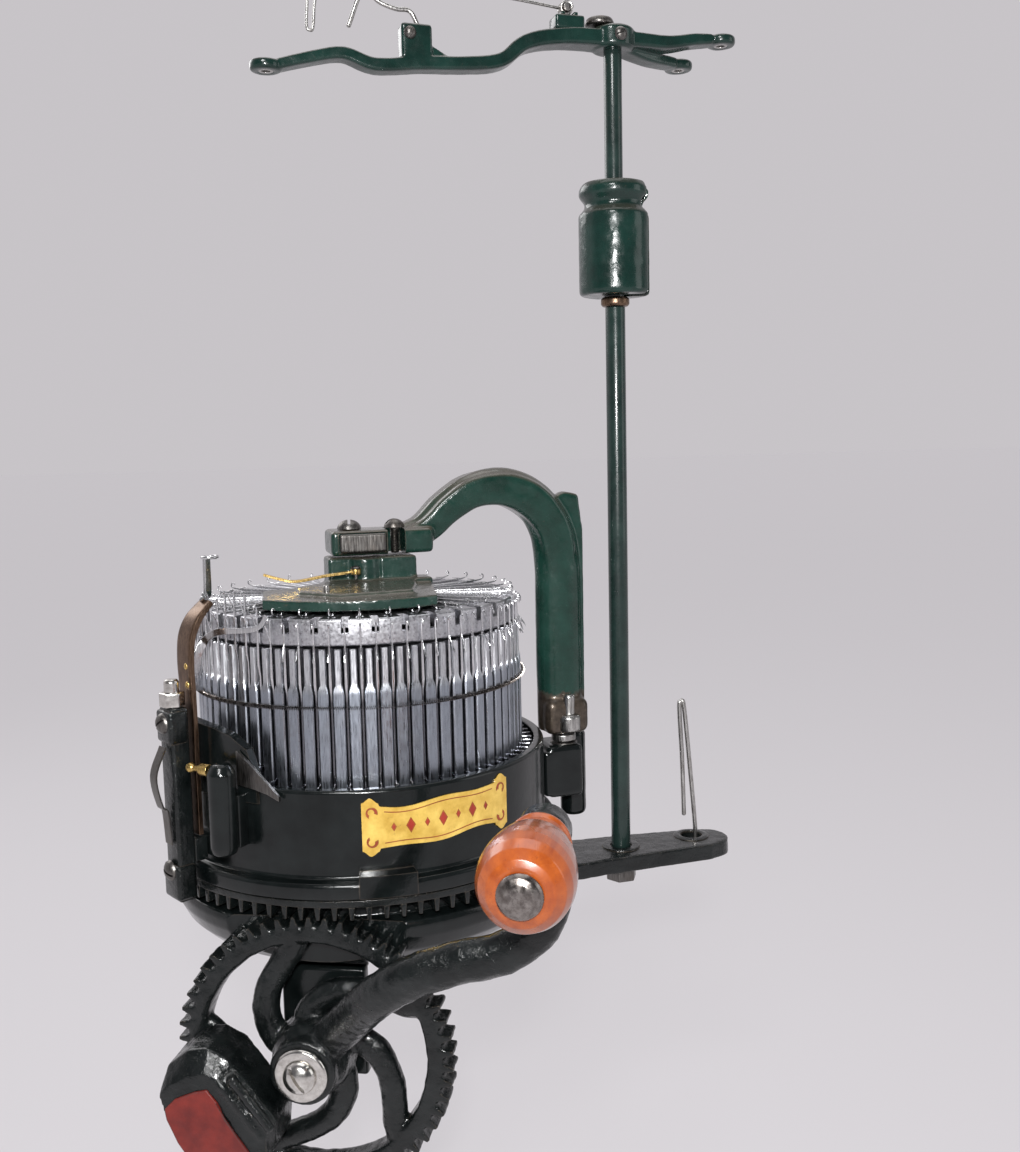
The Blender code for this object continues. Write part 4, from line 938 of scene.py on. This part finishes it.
def guide_pieces():
    """The carrier strip, its rivets, the latch guard and the yarn eye."""
    side = polar(1, CARRIER_AZ + 90)

    def at(radius, z, across=0):
        return polar(radius, CARRIER_AZ, z) + side * across

    path = smooth([at(68.2, 41.8), at(68.2, 70), at(68.2, 88), at(68.4, 98), at(67.6, 106), at(65, 111.6),
                   at(62, 114.8), at(59.8, 116.8)], 8)
    strip = sweep(path, [(4.4, 0.9), (4.4, 0.9), (4.4, 1.2), (3.4, 0.9)], side, square=True)
    emit("guide_strip_body", strip, BRONZE, "yarn_carrier", "yarn_carrier")
    for number, (radius, z) in enumerate(((69.1, 91), (69.2, 97)), 1):
        rivet = moved(lathe([(0, -0.6), (1.2, -0.6), (1.2, 0), (0.95, 0.35), (0.5, 0.6), (0, 0.7)], 24, 0.1),
                      at(radius, z, 1.8), facing(CARRIER_AZ))
        emit("guide_rivet_%d" % number, rivet, BRASS, "yarn_carrier")
    guard = smooth([polar(64.6, 204, 88), polar(64, 204, 97), polar(62.8, 204.2, 101.4),
                    polar(61.2, 205, 104)] + [polar(60.7, az, z) for az,
                                              z in ((207.5, 106), (211, 107.4), (217, 108.4), (223, 109),
                                                    (227.5, 109.8), (230, 111.4), (231.6, 114))], 5)
    emit("guard_wire", sweep(guard, [(1.7, 0.35), (1.3, 0.35), (0.9, 0.35), (0.7, 0.3)], (0, 0, 1),
                             square=True), BRIGHT, "yarn_carrier", "latch_guard", slot="nickel")
    tongue = smooth([at(61.4, 116.6, -1), at(59.6, 118.2, -1), at(58.9, 120, -1), at(58.7, 131, -1)], 6)
    strip = sweep(tongue, [(1.7, 0.45), (1.8, 0.5), (1.6, 0.5)], side + polar(2, CARRIER_AZ), square=True)
    loop = []
    for i in range(41):
        angle = 2 * math.pi * (i / 40) * 0.93
        loop.append(at(58.7, 131.3, 1.2) + side * (-2.4 * math.cos(angle)) + polar(1,
                                                                                   CARRIER_AZ) *
                    (2.4 * math.sin(angle)))
    emit("yarn_eye", join(strip, wire(loop, 0.55)), BRIGHT, "yarn_carrier", "guide_strip")


def rib_pieces():
    """The lift-off arm with its pin, screws, cam plate and dial."""
    path = smooth([(75.6, 0, 57), (75.4, 0, 80), (75.4, 0, 105), (75.2, 0, 120), (73, 0, 133), (66, 0, 144),
                   (55, 0, 149.8), (43, 0, 149), (33, 0, 143), (25, 0, 135.6), (17, 0, 132.2),
                   (10, 0, 131.8)], 6)
    arch = sweep(path, [(6.6, 8.8), (6.6, 8.9), (6.6, 8.6), (6.6, 7.2), (6.2, 5.6), (5.6, 4.6), (5.2, 4)],
                 sides=28)
    face = smooth([(75.2, 0, 112), (75, 0, 121), (72.4, 0, 134), (65.2, 0, 143.6), (54.8, 0, 148.6),
                   (43, 0, 148), (33.4, 0, 142.4), (25.4, 0, 135.4), (17, 0, 132)], 6)
    face = sweep(face, [(5.2, 5.2), (6.4, 6.4), (6.9, 6.6), (6.8, 5.6), (6.4, 4.6), (5.8, 4.2)], square=True)
    top = smooth([(78.5, 1.6, 100), (78.3, 1.6, 121), (75.8, 1.6, 134.6), (68.2, 1.6, 146.6),
                  (55.8, 1.6, 152.9), (41.8, 1.6, 152.1), (30.8, 1.6, 145.6), (22.8, 1.6, 138.2),
                  (15.6, 1.6, 135)], 6)
    flange = sweep(top, [(4.6, 2.4), (4.6, 2.6), (4.6, 2.4), (4, 2)], square=True)
    rib = moved(prism([(76, 62), (85, 62), (85, 132), (83.4, 146), (77.5, 147.2), (70, 143), (76, 132)], -2.6,
                      2.6, 1), turn=ALONG_Y)
    lug = box(67.6, 84.6, -8.4, 6.2, 55.8, 69.5, 3.2, 5)
    fork = box(-10.5, 26, -8.6, 8.6, 127.5, 136.3, 1.4)
    body = cast(join(arch, face, flange, rib, lug, fork), 0.6, 5, 0.18)
    body = carved(body, box(9.4, 15.6, -12, 1.5, 124, 140, 0))
    body = carved(body, box(-8, 9, -12, -7, 128.3, 135.6, 0))
    emit("ribber_arm", body, ARM_GREEN, "rib_arm", "rib_arm")

    pin = moved(lathe([(0, 44), (2.2, 44.6), (2.2, 63.4), (0, 63.4)], 32, 0.3), ARM_PIN)
    emit("arm_pin", pin, BRIGHT, "rib_arm", "rib_arm_pin")
    collar = tube(2.3, 4.6, 52.7, 55.3, 40, 0.5)
    emit("arm_pin_collar", moved(collar, ARM_PIN), WIRE, "rib_arm", "pin_collar", slot="dark_steel")
    sleeve = lathe([(0, 57.5), (3.9, 57.5), (4.3, 58.4), (4.3, 62.6), (3.6, 63.6), (2.2, 63.9), (2.2, 70.4),
                    (1.7, 71.2), (0, 71.4)], 40, 0.3)
    emit("arm_locating_pin", moved(sleeve, (76.6, -7, 0)), WIRE, "rib_arm")

    emit("fork_screw_left_head", moved(screw_head(4.3, 3.4, 2, 0.6, 1, 80), (-3, -1.5, 136.5)), DARK,
         "rib_arm", "fork_screw_left")
    thread = [(0, 127.6)]
    for k in range(15):
        thread += [(1.25, 127.8 + 0.56 * k), (1.6, 128.08 + 0.56 * k)]
    thread += [(1.3, 136.6), (0, 136.8)]
    head = moved(screw_head(3.7, 3.2, 1.5, 0.4, 1, 15), (0, 0, 136.7))
    emit("fork_screw_right_head", moved(join(head, lathe(thread, 24, 0)), (12.5, -5, 0)), DARK, "rib_arm",
         "fork_screw_right")
    plate = cast(box(-7.6, 8.6, -10.2, -7.4, 128.7, 135.2, 0.6), 0.35, 2, 0.12)
    emit("fork_plate", plate, DARK, "rib_arm", "clamp_plate", slot="steel")

    outline = [(19, 6), (24, -10), (20.5, -30), (17, -48.7)]
    outline += arc(52.2, -75, -131, 30)
    outline += [(-37.6, -36), (-35, -13), (-16, -6), (-12, 6), (0, 11)]
    deck = [(15, 2), (18, -10), (15.5, -26), (11, -40), (-14, -42.5), (-25, -30), (-24, -16), (-10, -4)]
    parts = [
        prism(list(reversed(outline)), 114.2, 117.6, 0),
        prism(list(reversed(deck)), 117, 118.8, 0),
        tube(0, 7, 115, 126.9, 48, 0.5),
        box(6, 19.5, -9, 7, 115, 126.9, 1),
        box(-11.5, -3, -6, 6, 115, 126.9, 1),
        moved(lathe([(0, 117), (5.4, 117), (5.2, 126.6), (0, 126.6)], 48, 0.5), (1.5, -5.2, 0)),
        box(17.5, 24, -14, -4, 116, 119.4, 0.8),
    ]
    plate = cast(join(*parts), 0.5, 4, 0.2)
    bore = tube(0, 4.8, 110, 124, 40, 0)
    emit("ribber_cam_plate", carved(plate, bore), ARM_GREEN_PLATE, "rib_arm", "rib_cam_plate")
    peg = moved(lathe([(0, 117.4), (1.1, 117.4), (1.1, 120.4), (0.8, 120.9), (0, 121)], 20, 0.15),
                (-16.5, -33, 0))
    emit("cam_plate_peg", peg, WIRE, "rib_arm")

    blade = smooth([(-1.3, 0, 0), (-10, 0, -0.8), (-20.5, -0.2, -2.2), (-26, 0, -1.2), (-31.5, 0.2, 0.6)], 6)
    lever = join(tube(0.7, 1.8, -0.9, 0.9, 32, 0.2), sweep(blade, [(1.3, 0.5), (1.3, 0.45), (1.2, 0.45)],
                                                           square=True))
    emit("tension_lever", moved(lever, LEVER), BRASS, "cam_lever", "cam_lever")
    pivot = moved(screw_head(1.9, 1, 0.6, 3.6, 0.4, 30, 24), (-3, -11.9, 123.5))
    emit("lever_screw", pivot, DARK, "rib_arm")
    stud = tube(0, 4.4, 100, 123.6, 40, 0.4)
    emit("dial_axle", stud, BRIGHT, "rib_arm", "dial_stud")
    dial_pieces()


def dial_pieces():
    """The ribbing dial, its radial latch needles, nut and dog."""
    dial = lathe([(4.8, 108.8), (51.6, 108.8), (52.4, 103.6), (54.8, 103.6), (55.2, 104.2), (55.2, 111.8),
                  (54.7, 112.3), (4.8, 112.3)], 216, 0.25)
    slots = []
    for i in range(DIAL_SLOTS):
        one = box(49.5, 60, -1.25, 1.25, 107.6, 116, 0)
        slots.append(moved(one, turn=spun(360 * (i + 0.5) / DIAL_SLOTS)))
    dial = carved(dial, join(*slots))
    grooves = []
    for i in range(DIAL_SLOTS):
        wall = box(15, 51, 0.72, 1.25, 111.6, 112.62, 0.12, 1)
        twin = box(15, 51, -1.25, -0.72, 111.6, 112.62, 0.12, 1)
        grooves.append(moved(join(wall, twin), turn=spun(360 * i / DIAL_SLOTS)))
    emit("ribbing_dial", join(dial, *grooves), DIAL_STEEL, "dial", "dial", sharp=30)

    needles = []
    for i in range(DIAL_SLOTS):
        shank = sweep([Vector((x, 0, 113)) for x in (13.5, 30, 50)], [(0.45, 0.42), (0.45, 0.42)],
                      square=True)
        stem = smooth([(49, 0, 113), (51.5, 0, 113.2), (53.4, 0, 113.4), (54.5, 0, 113.7), (55, 0, 114.5),
                       (54.6, 0, 115.3), (53.8, 0, 115.3), (53.3, 0, 114.8)], 3)
        hook = sweep(stem, [(0.36, 0.34), (0.3, 0.3), (0.26, 0.26), (0.18, 0.18)], sides=8)
        tilt = math.radians(150 + 12 * math.sin(2.1 * i))
        reach = Vector((math.cos(tilt), 0, math.sin(tilt) * 0.25))
        path = [Vector((51.2, 0, 113.35)) + reach * d for d in (-0.4, 1.5, 3, 4.2, 5)]
        latch = sweep(path, [(0.16, 0.2), (0.16, 0.18), (0.2, 0.16), (0.42, 0.14), (0.2, 0.1)], sides=8)
        needles.append(moved(join(shank, hook, latch), turn=spun(360 * i / DIAL_SLOTS)))
    emit("dial_latch_needles", join(*needles), BRIGHT, "dial", "dial_needles")
    nut = prism(arc(9, 0, 300, 5), 104, 108.4, 0.5)
    bore = tube(0, 5.3, 100, 112, 40, 0)
    emit("dial_lock_nut", carved(nut, bore), DARK, "dial", "dial_nut")
    emit("dial_stop_dog", box(44, 48.5, -2, 2, 96, 108.9, 0.6), DARK, "dial", "dial_dog")


def crank_pieces():
    """The toothed crank wheel with its S spokes, arm, counterweight and handle."""
    turn = facing(WHEEL_AZ)
    centre = polar(WHEEL_OUT, WHEEL_AZ, WHEEL_Z)

    def put(name, bm, *details, **more):
        emit(name, moved(bm, centre, turn), *details, **more)

    rim = lathe([(36.2, -4.4), (41.8, -4), (41.8, 4), (36.2, 4.4)], 144, 1.6)
    parts = [rim, lathe([(0, -6), (12, -6), (12.8, -2), (12.2, 8), (10.4, 12), (10.4, 16), (0, 16)], 64, 0.8)]
    for i in range(WHEEL_TEETH):
        tooth = prism([(-1.6, 0), (1.6, 0), (0.66, 3.85), (-0.66, 3.85)], -4, 4, 0)
        moved(tooth, (0, 41.1, 0))
        parts.append(moved(tooth, turn=spun(360 * (i + 0.5) / WHEEL_TEETH - 90)))
    curl = ((39, -2), (34, 2), (29.5, 11), (25, 26), (20, 44), (15, 60), (10, 74))
    for k in range(SPOKES):
        start = 100 + 360 * k / SPOKES
        spoke = smooth([polar(r, start + a, 0.6) for r, a in curl], 6)
        parts.append(sweep(spoke, [(3.4, 5.2), (3.4, 4.2), (3.5, 4.2), (3.6, 4.6), (3.6, 5.4)], (0, 0, 1),
                           20))
    knee = smooth([(7, 8, 9), (16, 18, 15.5), (26, 30, 25.5), (38, 39, 29.5), (52, 44.5, 30), (65, 48, 30),
                   (76, 56, 29.5), (80, 69, 29), (78, 82, 29)], 6)
    parts.append(sweep(knee, [(5, 6.4), (4.8, 6.4), (4.6, 6.2), (4.4, 5.4)], (0, 0, 1), 24))
    parts.append(moved(tube(0, 7.6, 24.6, 33.6, 48, 0.8), (CRANK_X, CRANK_Y, 0)))
    wheel = cast(join(*parts), 0.55, 4, 0.7)
    bore = tube(0, 6.3, -12, 24, 48, 0)
    put("toothed_crank_wheel", carved(wheel, bore), ROUGH_JAPAN, "crank", "crank_wheel")

    outline = [(-21, 5.6), (-27.7, 9.1), (-34.1, 8.2), (-40.8, 2.9), (-42.4, -2.1), (-40.4, -12),
               (-35.5, -21.7), (-28, -32.8), (-15, -33.8), (-8, -22), (-6.8, -13)]
    brow = [(-24, 1.5), (-27.7, 3.2), (-33.5, 1.6), (-40, -2), (-42.2, -5), (-40.4, -12), (-35.5, -21.7),
            (-28, -32.8), (-15, -33.8), (-9, -23), (-9, -15)]
    parts = [prism(outline, 4.6, 20.5, 0), tapered(outline, brow, 20.3, 24.6)]
    along = Vector((-14.2, 18.6, 0)).normalized()
    across = Vector((along.y, -along.x, 0))
    for step in (0.8, 4.8):
        start = Vector((-8.6, -11, 23.6)) - across * step
        parts.append(sweep([start + along * d for d in (-3, 2, 10, 17)], [(1.5, 1.6), (1.5, 1.6)], (0, 0, 1),
                           16))
    put("crank_balance_block", cast(join(*parts), 0.5, 5, 0.5), ROUGH_JAPAN, "crank", "counterweight")
    face = [(-26.7, -1.6), (-30.8, -2.6), (-37, -5.2), (-40.4, -8.6), (-40, -12), (-36.6, -19.2),
            (-29.4, -30.4), (-17.4, -31), (-13, -22.6), (-17.2, -16.6), (-21.4, -10.6), (-23.7, -5.4)]
    put("balance_face", prism(face, 24.2, 25.3, 0.35), RED, "crank")

    washer = lathe([(2.4, 16.2), (8, 16.2), (8.6, 16.9), (8, 17.8), (6.6, 17.9), (2.4, 17.6)], 64, 0.3)
    put("crank_hub_washer", washer, NICKEL, "crank", "hub_washer")
    put("crank_hub_screw", moved(screw_head(5.2, 3.2, 2, 1, 1.1, -58), (0, 0, 17.9)), NICKEL, "crank",
        "hub_screw")

    grip = centre + turn.to_3x3() @ Vector((CRANK_X, CRANK_Y, 28.6))
    handle = lathe([
        (4.2, 8.4), (8.3, 8.4), (8.9, 9), (8.9, 10), (8.2, 10.9), (7.9, 12.6), (8.6, 14.6), (9.9, 17.6),
        (11.1, 21.8), (12, 26.5), (12.6, 31.5), (12.7, 35.5), (12.2, 39.4), (10.9, 42.6), (8.6, 44.9),
        (6.7, 45.6), (4.2, 45.6)], 96, 0.35)
    emit("turned_handle", moved(handle, grip, turn), WOOD, "handle", "handle")
    button = [(0, 4.8), (5.6, 4.8), (5.6, 8.1), (3.8, 8.1), (3.8, 46), (5.9, 46), (5.9, 46.6), (5.2, 47.6),
              (3.8, 48.4), (2, 48.8), (0, 48.9)]
    emit("handle_pin", moved(lathe(button, 64, 0.3), grip, turn), IRON, "crank", "handle_spindle")


# ---------------------------------------------------------------- studio

def plain(name, colour, rough):
    """A stage material with a faint mottle."""
    g = Graph(name)
    g.link(g.mix(g.noise(3, 3), colour, tuple(c * 1.04 for c in colour)), g.shader.inputs["Base Color"])
    g.shader.inputs["Roughness"].default_value = rough
    return g.mat


def area(name, at, aim, size, power, colour=(1, 1, 1)):
    """A soft rectangular light."""
    data = bpy.data.lights.new(name, "AREA")
    data.shape = "RECTANGLE"
    data.size, data.size_y = size
    data.energy = power
    data.color = colour
    obj = bpy.data.objects.new(name, data)
    obj.location = at
    obj.rotation_euler = (Vector(aim) - Vector(at)).to_track_quat("-Z", "Y").to_euler()
    bpy.context.scene.collection.objects.link(obj)


def studio():
    """Floor, lights, world and camera."""
    mesh = bpy.data.meshes.new("floor")
    far, level = 14, FLOOR_Z * MM
    mesh.from_pydata([(-far, -far, level), (far, -far, level), (far, far, level), (-far, far, level)], [],
                     [(0, 1, 2, 3)])
    paper = plain("floor_paint", (0.20, 0.194, 0.20), 0.9)
    shader = paper.node_tree.nodes["Principled BSDF"]
    shader.inputs["Emission Color"].default_value = (0.465, 0.446, 0.465, 1)
    shader.inputs["Emission Strength"].default_value = 1
    mesh.materials.append(paper)
    floor = bpy.data.objects.new("floor", mesh)
    bpy.context.scene.collection.objects.link(floor)

    world = bpy.data.worlds.new("studio")
    world.use_nodes = True
    tree = world.node_tree
    parts = tree.nodes.new("ShaderNodeSeparateXYZ")
    tree.links.new(tree.nodes.new("ShaderNodeTexCoord").outputs["Generated"], parts.inputs[0])
    ramp = tree.nodes.new("ShaderNodeMapRange")
    for key, number in (("From Min", -0.2), ("From Max", 0.35), ("To Min", 0), ("To Max", 1)):
        ramp.inputs[key].default_value = number
    tree.links.new(parts.outputs["Y"], ramp.inputs["Value"])
    seen = tree.nodes.new("ShaderNodeMath")
    seen.operation = "MAXIMUM"
    tree.links.new(ramp.outputs["Result"], seen.inputs[0])
    tree.links.new(tree.nodes.new("ShaderNodeLightPath").outputs["Is Camera Ray"], seen.inputs[1])
    blend = tree.nodes.new("ShaderNodeMix")
    blend.data_type = "RGBA"
    blend.inputs[6].default_value = (0.13, 0.13, 0.14, 1)
    blend.inputs[7].default_value = (0.575, 0.552, 0.575, 1)
    tree.links.new(seen.outputs[0], blend.inputs[0])
    tree.links.new(blend.outputs[2], tree.nodes["Background"].inputs["Color"])
    bpy.context.scene.world = world

    aim = (-0.07, 0, 0.12)
    area("key", (-0.45, -0.75, 0.75), aim, (0.22, 0.22), 4)
    area("flash", (-0.215, -0.52, 0.265), aim, (0.045, 0.045), 3.2)
    area("fill", (0.75, -0.45, 0.35), aim, (0.4, 0.6), 0.9)
    area("rim", (-0.5, 0.7, 0.6), aim, (0.6, 0.4), 2.2)
    area("top", (0, 0.1, 1), aim, (0.7, 0.7), 2.4)

    data = bpy.data.cameras.new("camera")
    data.lens = 37.21
    data.sensor_width = 36
    data.sensor_fit = "AUTO"
    data.clip_start = 0.01
    camera = bpy.data.objects.new("camera", data)
    camera.location = (-0.18905, -0.42029, 0.16848)
    camera.rotation_euler = [math.radians(angle) for angle in CAMERA_ANGLES]
    bpy.context.scene.collection.objects.link(camera)
    bpy.context.scene.camera = camera
    bpy.context.scene.view_settings.view_transform = "Standard"


base_pieces()
bracket_pieces()
needle_bed_pieces()
drum_pieces()
guide_pieces()
rib_pieces()
crank_pieces()
studio()
